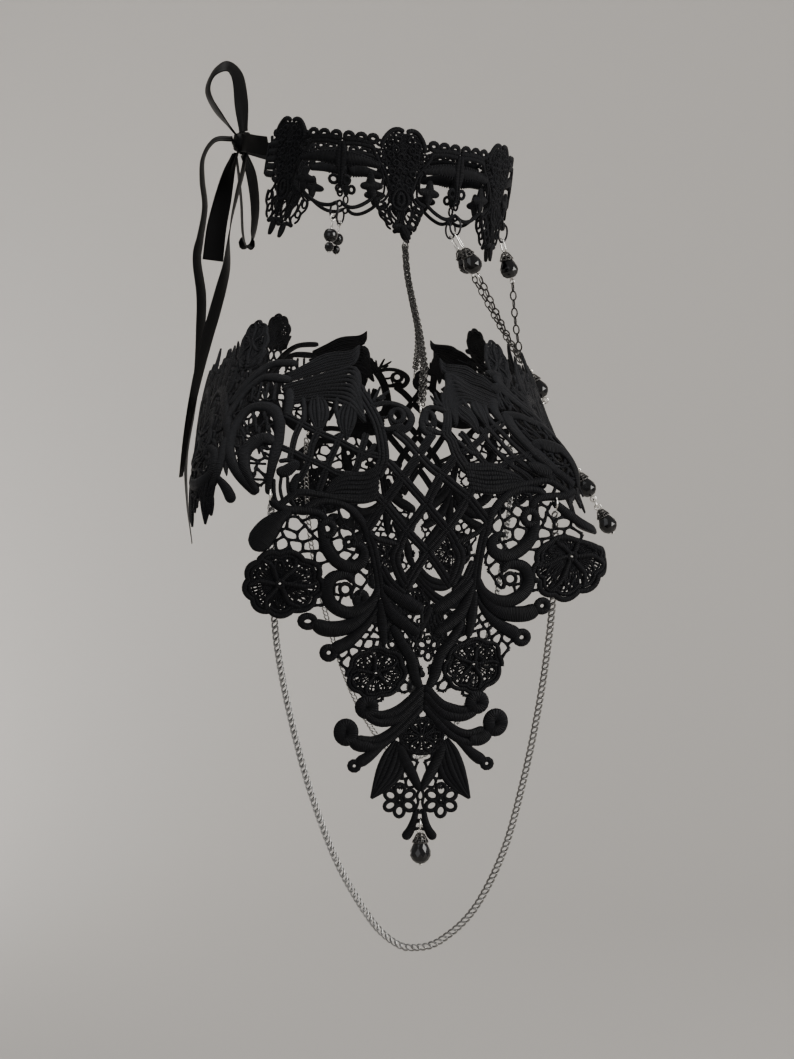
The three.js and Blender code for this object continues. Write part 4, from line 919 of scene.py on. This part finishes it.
def chain(name, route, face, material, kind, node):
    """A chain of links along a route, its flat face towards a direction."""
    pitch, half_long, half_wide, wire, turns, tilt, lean = LINKS[kind]
    travel = along_route(route)[0]
    length = np.sum(np.linalg.norm(np.diff(travel, axis=0), axis=1))
    count = round((length - 1.2) / pitch)
    points, ways = along_route(route, LINK_STEPS * count + 1)
    paths = []
    for i in range(count):
        middle = LINK_STEPS * i + LINK_STEPS // 2
        center, way = points[middle], ways[middle]
        side = np.cross(way, face)
        side /= np.linalg.norm(side)
        out = np.cross(side, way)
        spread = turned(side, out, turns[i % 2])[0]
        way = turned(way, out, tilt)[0]
        way, spread = turned(way, spread, lean)
        paths.append((oval(center, way, spread, half_long, half_wide), wire, True))
    piece = tubes(name, paths, material, 0)
    fitted(piece, node)


def metal(name, color, roughness, tarnish):
    """Plated wire: darker and duller in patches, with a fine drawn grain."""
    material, tree, shader = new_material(name, color, roughness, 1.0)
    place = added(tree, "TexCoord")
    noise = added(tree, "TexNoise", Scale=420, Detail=4)
    tree.links.new(place.outputs["Object"], noise.inputs["Vector"])
    patches = noise.outputs["Fac"]
    dull = [c * tarnish for c in color]
    tree.links.new(tone_between(tree, patches, dull, color), shader.inputs["Base Color"])
    rough = ranged(tree, patches, roughness + 0.12, max(roughness - 0.1, 0.05))
    tree.links.new(rough, shader.inputs["Roughness"])
    return material


gunmetal = metal("gunmetal_plate", (0.075, 0.073, 0.07), 0.25, 0.5)
steel = metal("steel_plate", (0.4, 0.395, 0.385), 0.22, 0.4)
silver = metal("silver_plate", (0.82, 0.8, 0.76), 0.2, 0.75)
black_wire = metal("black_wire", (0.035, 0.035, 0.038), 0.38, 0.7)

SWAG_ROUTE = [
    (-162.6, 41.4, -127.8), (-160.6, 41.6, -140), (-161.5, 41.2, -158), (-163.6, 39.6, -182),
    (-164.6, 35, -208), (-165.4, 27.4, -238), (-166, 16.6, -268), (-166.4, 3.6, -291), (-166.6, -6, -300.5),
    (-166.8, -14, -302.5), (-167, -24, -299.5), (-167, -37, -287), (-166.6, -48.4, -264), (-166, -56, -236),
    (-165.4, -61.6, -208), (-164.4, -65.4, -182), (-161.4, -67.6, -160), (-160.2, -68.2, -144),
    (-164.4, -67.4, -131),
]
SHOULDER_ROUTES = {
    "a": [(-52.6, -10.6, -28), (-60, -11.6, -41), (-74, -14.2, -54.5), (-98, -17, -68), (-124, -18.2, -79),
          (-150.8, -16.8, -90.9)],
    "b": [(-54.6, -10.4, -26.6), (-62.6, -11.4, -39.4), (-76.4, -13.9, -52.4), (-100, -16.6, -65.6),
          (-125.4, -17.2, -76.8), (-151.4, -16.1, -89.8)],
}
SIDE_CHAIN_ROUTE = [(-36.6, -45.2, -46.2), (-29, -49.8, -55), (-20, -54.5, -64), (-11, -59.5, -73),
                    (-4.2, -63.8, -80.2)]
CENTER_CHAIN_ROUTE = [(0, -61.4, -48.6), (0, -60.2, -55), (0, -61.4, -66), (0, -63.5, -78.8)]


def mirrored(route, mirror):
    """A right-hand route, or its copy for the left where the mirror is -1."""
    return [(x * mirror, y, z) for x, y, z in route]


SIDES = ((1, "right"), (-1, "left"))
for mirror, word in SIDES:
    chain(f"swag_curb_chain_{word}", mirrored(SWAG_ROUTE, mirror), (-mirror, 0, 0), steel, "rope",
          f"swag_chain_{word}")
    for strand, route in SHOULDER_ROUTES.items():
        chain(f"shoulder_curb_chain_{strand}_{word}", mirrored(route, mirror), (-mirror * 0.7, 0, 0.7),
              gunmetal, "curb", f"shoulder_chain_{strand}_{word}")

# Rings: round wire bent to a circle or an oval and closed with pliers; black ones through the
# choker, silver ones through the shoulder lace and between the drops.
def unit(v):
    """A direction of length one."""
    v = np.array(v, float)
    return v / np.linalg.norm(v)


def frame_on(surface, u, v):
    """Along, up and out of a surface at one place."""
    u, v = float(u), float(v)
    ends = surface(np.array([u - 0.5, u + 0.5, u, u]), np.array([v, v, v - 0.5, v + 0.5]))
    side, up = unit(ends[1] - ends[0]), unit(ends[3] - ends[2])
    return side, up, unit(np.cross(side, up))


def in_lace(surface, u, v):
    """The middle of the lace's thickness."""
    return surface(np.array([float(u)]), np.array([float(v)]))[0] + frame_on(surface, u, v)[2] * LACE_LIFT


def about(vector, axis, degrees):
    """A direction turned about an axis."""
    return np.array(Matrix.Rotation(math.radians(degrees), 3, Vector(axis)) @ Vector(vector))


RING_WIRES = {"silver": silver, "black_wire": black_wire}
# Half width, half height and wire radius
LACE_RING = (2.2, 2.2, 0.38)
NOTCH_RING = (2.4, 2.4, 0.38)
JOIN_RING = (3.6, 3.6, 0.43)
FRONT_OVAL = (2.4, 4, 0.48)
SMALL_OVAL = (2.4, 3.5, 0.48)
OVAL_HEIGHT = -15


def ring(name, node, slot, center, axis, up, size):
    """A closed wire ring around an axis."""
    half_wide, half_high, wire = size
    axis = unit(axis)
    side = unit(np.cross(up, axis))
    path = oval(np.array(center), np.cross(axis, side), side, half_high, half_wide, 36)
    piece = tubes(name, [(path, wire, True)], RING_WIRES[slot], 2)
    fitted(piece, node)


DROP_AIMS = {"right": np.array([-37.6, -45, -45]), "left": np.array([37.6, -45, -45])}
oval_bottoms = {}
for word, along, turn in (("right", -PERIOD, 35), ("left", PERIOD, -35), ("center", 0, 35),
                          ("side_right", -2 * PERIOD, 56), ("side_left", 2 * PERIOD, -56)):
    side, up, _ = frame_on(neck, along, OVAL_HEIGHT)
    axis = about(side, up, turn)
    center = in_lace(neck, along, OVAL_HEIGHT)
    if word in DROP_AIMS:
        hold = center + up * 3.3
        up = unit(up * 0.6 + unit(hold - DROP_AIMS[word]) * 0.4)
        axis = about(side, up, turn)
        center = hold - up * 3.8
    small = word.startswith("side_")
    size = SMALL_OVAL if small else FRONT_OVAL
    node = f"small_ring_{word[5:]}" if small else f"front_ring_{word}"
    ring(f"oval_ring_{word}", node, "black_wire", center, axis, up, size)
    oval_bottoms[word] = (center - up * (size[1] - 0.25), axis)

# Rings of the shoulder lace: name, place along it and in height, size
TIP_HEIGHT = -252
LACE_RINGS = [("notch", "", 0, -93, NOTCH_RING), ("swag", "_back", -57, -124, LACE_RING),
              ("swag", "_front", 51.5, -127, LACE_RING), ("tip", "", 0, TIP_HEIGHT, LACE_RING)]
for mirror, word in SIDES:
    for kind, end, u, v, size in LACE_RINGS:
        along, up, _ = (a * [mirror, 1, 1] for a in frame_on(shoulder, u, v))
        center = in_lace(shoulder, u, v) * [mirror, 1, 1]
        ring(f"{kind}_wire_ring{end}_{word}", f"{kind}_ring{end}_{word}", "silver", center, along, up, size)

# Drops: a loop of silver wire through a dark filigree cap, and a faceted black glass teardrop
# that the wire's end or a second loop holds from below.
DROP_LENGTH = 15.1


def hung(top, direction, loop_axis):
    """Moves a drop drawn straight down from its loop to its place."""
    z_axis = -unit(direction)
    y_axis = unit(np.cross(z_axis, loop_axis))
    x_axis = np.cross(y_axis, z_axis)
    rows = [(x_axis[i] / 1000, y_axis[i] / 1000, z_axis[i] / 1000, top[i] / 1000) for i in range(3)]
    return Matrix(rows + [(0, 0, 0, 1)])


def at_place(matrix, points):
    """Points of a drop, moved to its place, in mm."""
    grid = np.array(matrix)
    return (np.array(points, float) @ grid[:3, :3].T + grid[:3, 3]) * 1000


def circle(center, radius, axis, count=20):
    """A loop around the x or the z axis."""
    angle = 2 * math.pi * np.arange(count) / count
    a, b = radius * np.cos(angle), radius * np.sin(angle)
    flat = np.stack([0 * a, a, b] if axis == "x" else [a, b, 0 * a], 1)
    return flat + np.array(center)


def faceted(name, profile, sides, matrix, material, twist=True):
    """A cut glass bead with a bore: flat facets between rings of corners."""
    shape = bmesh.new()
    edges = []
    for i, (radius, down) in enumerate(profile):
        made = bmesh.ops.create_circle(shape, segments=sides, radius=radius)
        turn = Matrix.Rotation(math.pi / sides * (i % 2 if twist else 0), 4, "Z")
        bmesh.ops.transform(shape, verts=made["verts"], matrix=Matrix.Translation((0, 0, -down)) @ turn)
        edges.append(list({e for v in made["verts"] for e in v.link_edges}))
    for one, other in zip(edges, edges[1:] + edges[:1]):
        bmesh.ops.bridge_loops(shape, edges=one + other)
    bmesh.ops.triangulate(shape, faces=shape.faces)
    bmesh.ops.transform(shape, verts=shape.verts, matrix=matrix)
    bmesh.ops.recalc_face_normals(shape, faces=shape.faces)
    return settled(name, shape, material)


glass, glass_tree, glass_shader = new_material("black_glass", (0.002, 0.002, 0.0025), 0.04)
glass_place = added(glass_tree, "TexCoord")
glass_noise = added(glass_tree, "TexNoise", Scale=300)
glass_tree.links.new(glass_place.outputs["Object"], glass_noise.inputs["Vector"])
glass_polish = ranged(glass_tree, glass_noise.outputs["Fac"], 0.02, 0.1)
glass_tree.links.new(glass_polish, glass_shader.inputs["Roughness"])
glass_shader.inputs["Specular IOR Level"].default_value = 0.5
cap_metal = metal("filigree_plate", (0.13, 0.125, 0.12), 0.36, 0.4)

TEARDROP = [(0.9, 2.9), (1.5, 3.1), (2.4, 4.9), (3.3, 6.7), (4.05, 8.6), (4.15, 10.2), (3.4, 11.9),
            (2.1, 13.1), (0.9, 13.4)]


# The cap: one rib, as radius, depth and turn in radians, and its hoops, as radius, depth and wire
CAP_RIB = ((0.7, 1.5, 0), (1.6, 2.1, 0.1), (2.2, 3.2, 0.25), (2.7, 4.4, 0.1), (3.1, 5.2, 0))
CAP_HOOPS = ((0.8, 1.5, 0.32), (1.75, 2.3, 0.22), (2.35, 3.6, 0.2), (2.9, 4.9, 0.22))
CAP_RIBS = 8


def teardrop(name, node, top, direction, loop_axis, lower_loop, eye=0.0):
    """One drop, with its upper eye made longer if wanted; returns the middle of its lower loop."""
    top = np.array(top) + unit(direction) * eye
    matrix = hung(top, direction, loop_axis)
    upper = circle((0, 0, 0), 1.42, "x")
    upper[:, 2] += np.where(upper[:, 2] > 0.01, eye, 0)
    wires = [(at_place(matrix, upper), 0.34, True),
             (at_place(matrix, [(0, 0, -1.42), (0, 0, -13.9)]), 0.36, False)]
    if lower_loop:
        wires.append((at_place(matrix, circle((0, 0, -DROP_LENGTH), 1.3, "x")), 0.32, True))
    else:
        wires.append((at_place(matrix, circle((0, 0, -14), 0.35, "z", 8)), 0.4, True))
    fitting = tubes(name + "_wire", wires, silver, 2)
    ribs = []
    for i in range(CAP_RIBS):
        angle = 2 * math.pi * i / CAP_RIBS
        rib = [(r * math.cos(angle + turn), r * math.sin(angle + turn), -down) for r, down, turn in CAP_RIB]
        ribs.append((at_place(matrix, rib), 0.24, False))
        hole = (2.7 * math.cos(angle + 0.39), 2.7 * math.sin(angle + 0.39), -4.6)
        ribs.append((at_place(matrix, circle(hole, 0.5, "z", 7)), 0.18, True))
    for radius, down, wire in CAP_HOOPS:
        ribs.append((at_place(matrix, circle((0, 0, -down), radius, "z", 22)), wire, True))
    cap = tubes(name + "_cap", ribs, cap_metal, 0)
    bead = faceted(name + "_glass", TEARDROP, 12, matrix, glass)
    for piece, slot, of in ((fitting, "silver", "fitting"), (cap, "gunmetal", "fitting"),
                            (bead, "glass", "bead")):
        fitted(piece, node.format(of))
    return np.array(top) + unit(direction) * DROP_LENGTH


def front_drop(word, direction, eye, route, face):
    """A drop in the choker's front, with the chain that hangs from it."""
    top, axis = oval_bottoms[word]
    low = teardrop(f"front_teardrop_{word}", f"front_drop_{word}_{{}}", top, direction,
                   unit(np.cross(axis, direction)), True, eye)
    chain(f"front_cable_chain_{word}", [tuple(low + direction * 0.6), *route[1:]], face, gunmetal, "cable",
          f"front_chain_{word}")


for mirror, word in SIDES:
    front_drop(word, unit(DROP_AIMS[word] - oval_bottoms[word][0]), 5.6, mirrored(SIDE_CHAIN_ROUTE, mirror),
               (-mirror * 0.6, -0.8, 0))
front_drop("center", unit((0, -0.26, -0.966)), 3.6, CENTER_CHAIN_ROUTE, (-0.5, -0.8, 0))

# Chest: the ring that gathers the front chains, a drop, and the rings that join the two laces
RIGHTWARD = (1, 0, 0)
CHEST_WAY = np.array([0, -0.49, -0.872])
STERNUM_WAY = np.array([0, -0.5, -0.866])
JOIN_HEIGHT = -130
CHEST_TILT = 40


def ring_along(name, node, center, way):
    """A ring between two drops, seen from the side as they are."""
    ring(name, node, "silver", center, np.cross(RIGHTWARD, way), way, LACE_RING)


def join_ring(name, node, center, tilt=0):
    """A lying ring that joins the right and the left lace."""
    ring(name, node, "silver", center, about((0, 0, 1), RIGHTWARD, -tilt), (0, 1, 0), JOIN_RING)


def lace_end(across):
    """Where the two laces meet, in front or behind."""
    return np.array([0, in_lace(shoulder, across, JOIN_HEIGHT)[1], JOIN_HEIGHT])


chest_ring = np.array([0, -66.3, -82.8])
ring_along("chest_wire_ring", "chest_ring", chest_ring, CHEST_WAY)
chest_low = teardrop("chest_teardrop", "chest_drop_{}", chest_ring + CHEST_WAY * LACE_RING[1], CHEST_WAY,
                     RIGHTWARD, True)
chest_join = np.array([0, chest_low[1] + JOIN_RING[1] * math.cos(math.radians(CHEST_TILT)), -100.2])
join_ring("chest_join_ring", "lace_ring_chest", chest_join, CHEST_TILT)
sternum_join = lace_end(210)
join_ring("sternum_join_ring", "lace_ring_sternum", sternum_join)
upper_low = teardrop("sternum_teardrop_upper", "sternum_drop_upper_{}", sternum_join + [0, -JOIN_RING[1], 0],
                     STERNUM_WAY, RIGHTWARD, True)
link = upper_low + STERNUM_WAY * LACE_RING[1]
ring_along("sternum_wire_link", "sternum_link", link, STERNUM_WAY)
teardrop("sternum_teardrop_lower", "sternum_drop_lower_{}", link + STERNUM_WAY * LACE_RING[1], STERNUM_WAY,
         RIGHTWARD, False)
join_ring("back_join_ring", "lace_ring_back", lace_end(-210))

for mirror, word in SIDES:
    up = frame_on(shoulder, 0, TIP_HEIGHT)[1]
    top = (in_lace(shoulder, 0, TIP_HEIGHT) - up * LACE_RING[1]) * [mirror, 1, 1]
    teardrop(f"tip_teardrop_{word}", f"tip_drop_{{}}_{word}", top, (0, 0, -1), RIGHTWARD, False)

# Small drops: silver head pin, a six-millimetre round bead of black glass and a cut end bead
ROUND_BEAD = [(0.85, 4.8), (1.5, 4.9), (2.35, 5.6), (2.85, 6.6), (3, 7.6), (2.85, 8.6), (2.35, 9.6),
              (1.5, 10.3), (0.85, 10.4)]
END_BEAD = [(0.5, 10.6), (1.1, 10.7), (2, 11.9), (2, 13.3), (1.2, 14.5), (0.5, 14.6)]
for _, word in SIDES:
    top, axis = oval_bottoms[f"side_{word}"]
    matrix = hung(top, (0, 0.13, -1), unit(np.cross(axis, (0, 0, 1))))
    pin = tubes(f"small_head_pin_{word}", [
        (at_place(matrix, circle((0, 0, 0), 1.25, "x", 18)), 0.32, True),
        (at_place(matrix, [(0, 0, -1.1), (0, 0, -14.8)]), 0.42, False),
        (at_place(matrix, circle((0, 0, -14.8), 0.3, "z", 8)), 0.34, True),
    ], silver, 2)
    round_bead = faceted(f"small_round_bead_{word}", ROUND_BEAD, 20, matrix, glass, False)
    round_bead.data.shade_smooth()
    end_bead = faceted(f"small_end_bead_{word}", END_BEAD, 8, matrix, glass)
    for piece, slot, node in ((pin, "silver", "small_drop_pin_"), (round_bead, "glass", "small_drop_bead_"),
                              (end_bead, "glass", "small_drop_pin_")):
        fitted(piece, node + word)

# Ribbon: ten-millimetre black double-faced satin, sewn to both ends of the choker and tied in a
# half bow at the nape; each length is a flat strip that follows its own line.
satin, satin_tree, satin_shader = new_material("ribbon_satin", (0.004, 0.004, 0.004), 0.45)
satin_uv = added(satin_tree, "UVMap")
satin_uv.uv_map = "UVMap"
satin_scale = added(satin_tree, "Mapping", Scale=(26, 900, 1))
satin_noise = added(satin_tree, "TexNoise", Scale=1, Detail=2)
satin_bump = added(satin_tree, "Bump", Strength=0.12, Distance=0.0002)
satin_tone = tone_between(satin_tree, satin_noise.outputs["Fac"], (0.001, 0.001, 0.0011),
                          (0.0028, 0.0028, 0.003))
satin_tree.links.new(satin_uv.outputs["UV"], satin_scale.inputs["Vector"])
satin_tree.links.new(satin_scale.outputs["Vector"], satin_noise.inputs["Vector"])
satin_tree.links.new(satin_noise.outputs["Fac"], satin_bump.inputs["Height"])
satin_tree.links.new(satin_tone, satin_shader.inputs["Base Color"])
satin_tree.links.new(satin_bump.outputs["Normal"], satin_shader.inputs["Normal"])
satin_shader.inputs["Specular IOR Level"].default_value = 0.09
satin_shader.inputs["Sheen Weight"].default_value = 0.006
satin_shader.inputs["Sheen Roughness"].default_value = 0.3


RIBBON_STEPS = 160
RIBBON_CUP = 0.5
RIBBON_THICKNESS = 0.00035


def ribbon(name, node, route, across, width, pinch=()):
    """A satin strip along a route; its width follows its own directions, and it narrows at a pinch."""
    points, ways = along_route(route, RIBBON_STEPS + 1)
    share = np.linspace(0, 1, RIBBON_STEPS + 1)
    reach = np.concatenate([[0], np.cumsum(np.linalg.norm(np.diff(np.array(route, float), axis=0), axis=1))])
    across = np.array(across, float)
    sides = np.stack([np.interp(share, reach / reach[-1], across[:, i]) for i in range(3)], 1)
    for _ in range(12):
        sides[1:-1] = (sides[:-2] + sides[2:]) / 2
    sides -= ways * np.sum(sides * ways, 1)[:, None]
    sides /= np.linalg.norm(sides, axis=1)[:, None]
    faces = np.cross(ways, sides)
    length = float(np.sum(np.linalg.norm(np.diff(points, axis=0), axis=1)))
    shape = bmesh.new()
    shape.loops.layers.uv.new("UVMap")
    bmesh.ops.create_grid(shape, x_segments=RIBBON_STEPS, y_segments=12, size=0.5, calc_uvs=True)
    narrow = np.ones(RIBBON_STEPS + 1)
    for place, much in pinch:
        narrow -= much * np.exp(-(((share - place) * length / 7) ** 2))
    for v in shape.verts:
        i = round((v.co.x + 0.5) * RIBBON_STEPS)
        y = v.co.y
        fold = (1 - narrow[i]) * 0.9 * math.cos(y * 15)
        bend = RIBBON_CUP * (math.cos(math.pi * y) - 0.6) + fold
        v.co = Vector((points[i] + sides[i] * y * width * narrow[i] + faces[i] * bend) / 1000)
    bmesh.ops.solidify(shape, geom=shape.faces, thickness=RIBBON_THICKNESS)
    bmesh.ops.recalc_face_normals(shape, faces=shape.faces)
    piece = settled(name, shape, satin)
    piece.data.shade_smooth()
    fitted(piece, node)


KNOT_CENTER = (0, 62.5, 18.5)
KNOT_HALF = (6.2, 4.6, 4.8)
knot = bmesh.new()
bmesh.ops.create_uvsphere(knot, u_segments=48, v_segments=24, radius=1)
for v in knot.verts:
    x, y, z = v.co
    folds = 1 + 0.05 * math.cos(9 * math.atan2(z, y) + 3 * x) + 0.09 * math.exp(-((x + 0.15) / 0.28) ** 2)
    v.co = Vector((
        KNOT_CENTER[0] + KNOT_HALF[0] * x,
        KNOT_CENTER[1] + KNOT_HALF[1] * y * folds,
        KNOT_CENTER[2] + KNOT_HALF[2] * z * folds,
    ))
    v.co.x += 0.8 * z
bmesh.ops.scale(knot, verts=knot.verts, vec=(0.001, 0.001, 0.001))
ribbon_knot = settled("satin_knot", knot, satin)
ribbon_knot.data.shade_smooth()
ribbon_knot.data.uv_layers.new(name="UVMap")
fitted(ribbon_knot, "ribbon_knot")

ribbon("satin_loop_upper", "ribbon_loop_upper",
       [(-2, 65.8, 22.6), (-6, 73, 31), (-10, 77.4, 40), (-12, 75, 48), (-11, 68.6, 51.6), (-8, 64, 47),
        (-4.6, 62.6, 36), (-1.4, 62, 23.6)],
       [(1, 0.3, 0.3), (1, 0.4, 0), (1, 0.4, 0.1), (0.9, 0.1, 0.4), (0.85, -0.1, 0.55), (0.85, -0.5, 0.2),
        (0.8, -0.6, 0), (0.8, -0.5, 0)], 9.5, pinch=[(0, 0.3), (1, 0.3)])
ribbon("satin_loop_lower", "ribbon_loop_lower",
       [(3.6, 62.4, 14.2), (7, 59, 4), (9, 57.6, -10), (9.5, 58.8, -22), (6, 61.6, -27), (2.5, 63.4, -22),
        (2.4, 64, -8), (3.6, 65.2, 5), (2.9, 66, 14)],
       [(1, -0.5, 0), (1, -0.5, 0), (1, -0.4, 0), (1, -0.2, 0), (1, 0, 0), (1, 0.2, 0), (1, 0.2, 0),
        (1, 0.2, 0), (1, 0.2, 0)], 9.5, pinch=[(0, 0.3), (1, 0.3)])
ribbon("satin_tail_short", "ribbon_tail_short",
       [(-2.6, 65.6, 14.2), (-5.8, 68.2, 6), (-8, 71.4, -8), (-9.5, 74, -20), (-9.5, 75.8, -34)],
       [(1, 0.6, 0), (1, 0.8, 0), (0.6, 1, 0), (0.4, 1, 0), (0.3, 1, 0)], 10,
       pinch=[(0, 0.35)])
ribbon("satin_tail_outer", "ribbon_tail_outer",
       [(-1, 67, 20.3), (-2, 75, 19.5), (-3, 80, 12), (-3, 80.6, 2), (-2, 79.6, -10), (0, 82, -24),
        (4, 84, -34), (6, 82.4, -50), (6.5, 83, -66), (6.5, 84.4, -84), (6.5, 87.4, -104), (6.5, 90.3, -124),
        (6.5, 90, -146), (6.5, 88.2, -164)],
       [(1, 0, 0.4), (1, 0.2, 0.3), (1, 0.3, 0), (1, 0.36, 0), (1, 0.36, 0), (1, 0.42, 0), (0.9, 0.5, 0),
        (0.85, 0.55, 0), (0.85, 0.5, 0), (0.9, 0.42, 0), (0.9, 0.36, 0), (1, 0.3, 0), (1, 0.2, 0),
        (1, 0.1, 0)], 10, pinch=[(0, 0.35)])
ribbon("satin_tail_inner", "ribbon_tail_inner",
       [(-2.8, 61.2, 13.9), (-6.6, 62.2, 5), (-8.4, 64.4, -4), (-8.6, 68, -20), (-7.5, 69.6, -36),
        (-7.5, 72, -46), (-6.5, 75.5, -58), (-6, 79.6, -72), (-6, 84.6, -92), (-6, 88.6, -112),
        (-6, 91.4, -132)],
       [(1, 0.3, 0), (1, 0.3, 0), (1, 0.3, 0), (1, 0.1, 0), (1, -0.3, 0), (1, -0.5, 0), (0.9, -0.5, 0),
        (0.9, -0.45, 0), (1, -0.35, 0), (1, -0.2, 0), (1, -0.1, 0)], 10,
        pinch=[(0, 0.35)])
for mirror, word in SIDES:
    ribbon(f"satin_band_{word}", f"ribbon_band_{word}",
           [(-28.6 * mirror, 49.6, 15.6), (-22 * mirror, 55, 16.6), (-14.5 * mirror, 59.6, 17.8),
            (-7.6 * mirror, 62.4, 18.4)],
           [(0, 0.15, 1), (0, 0.1, 1), (0, 0, 1), (0, 0, 1)], 8)
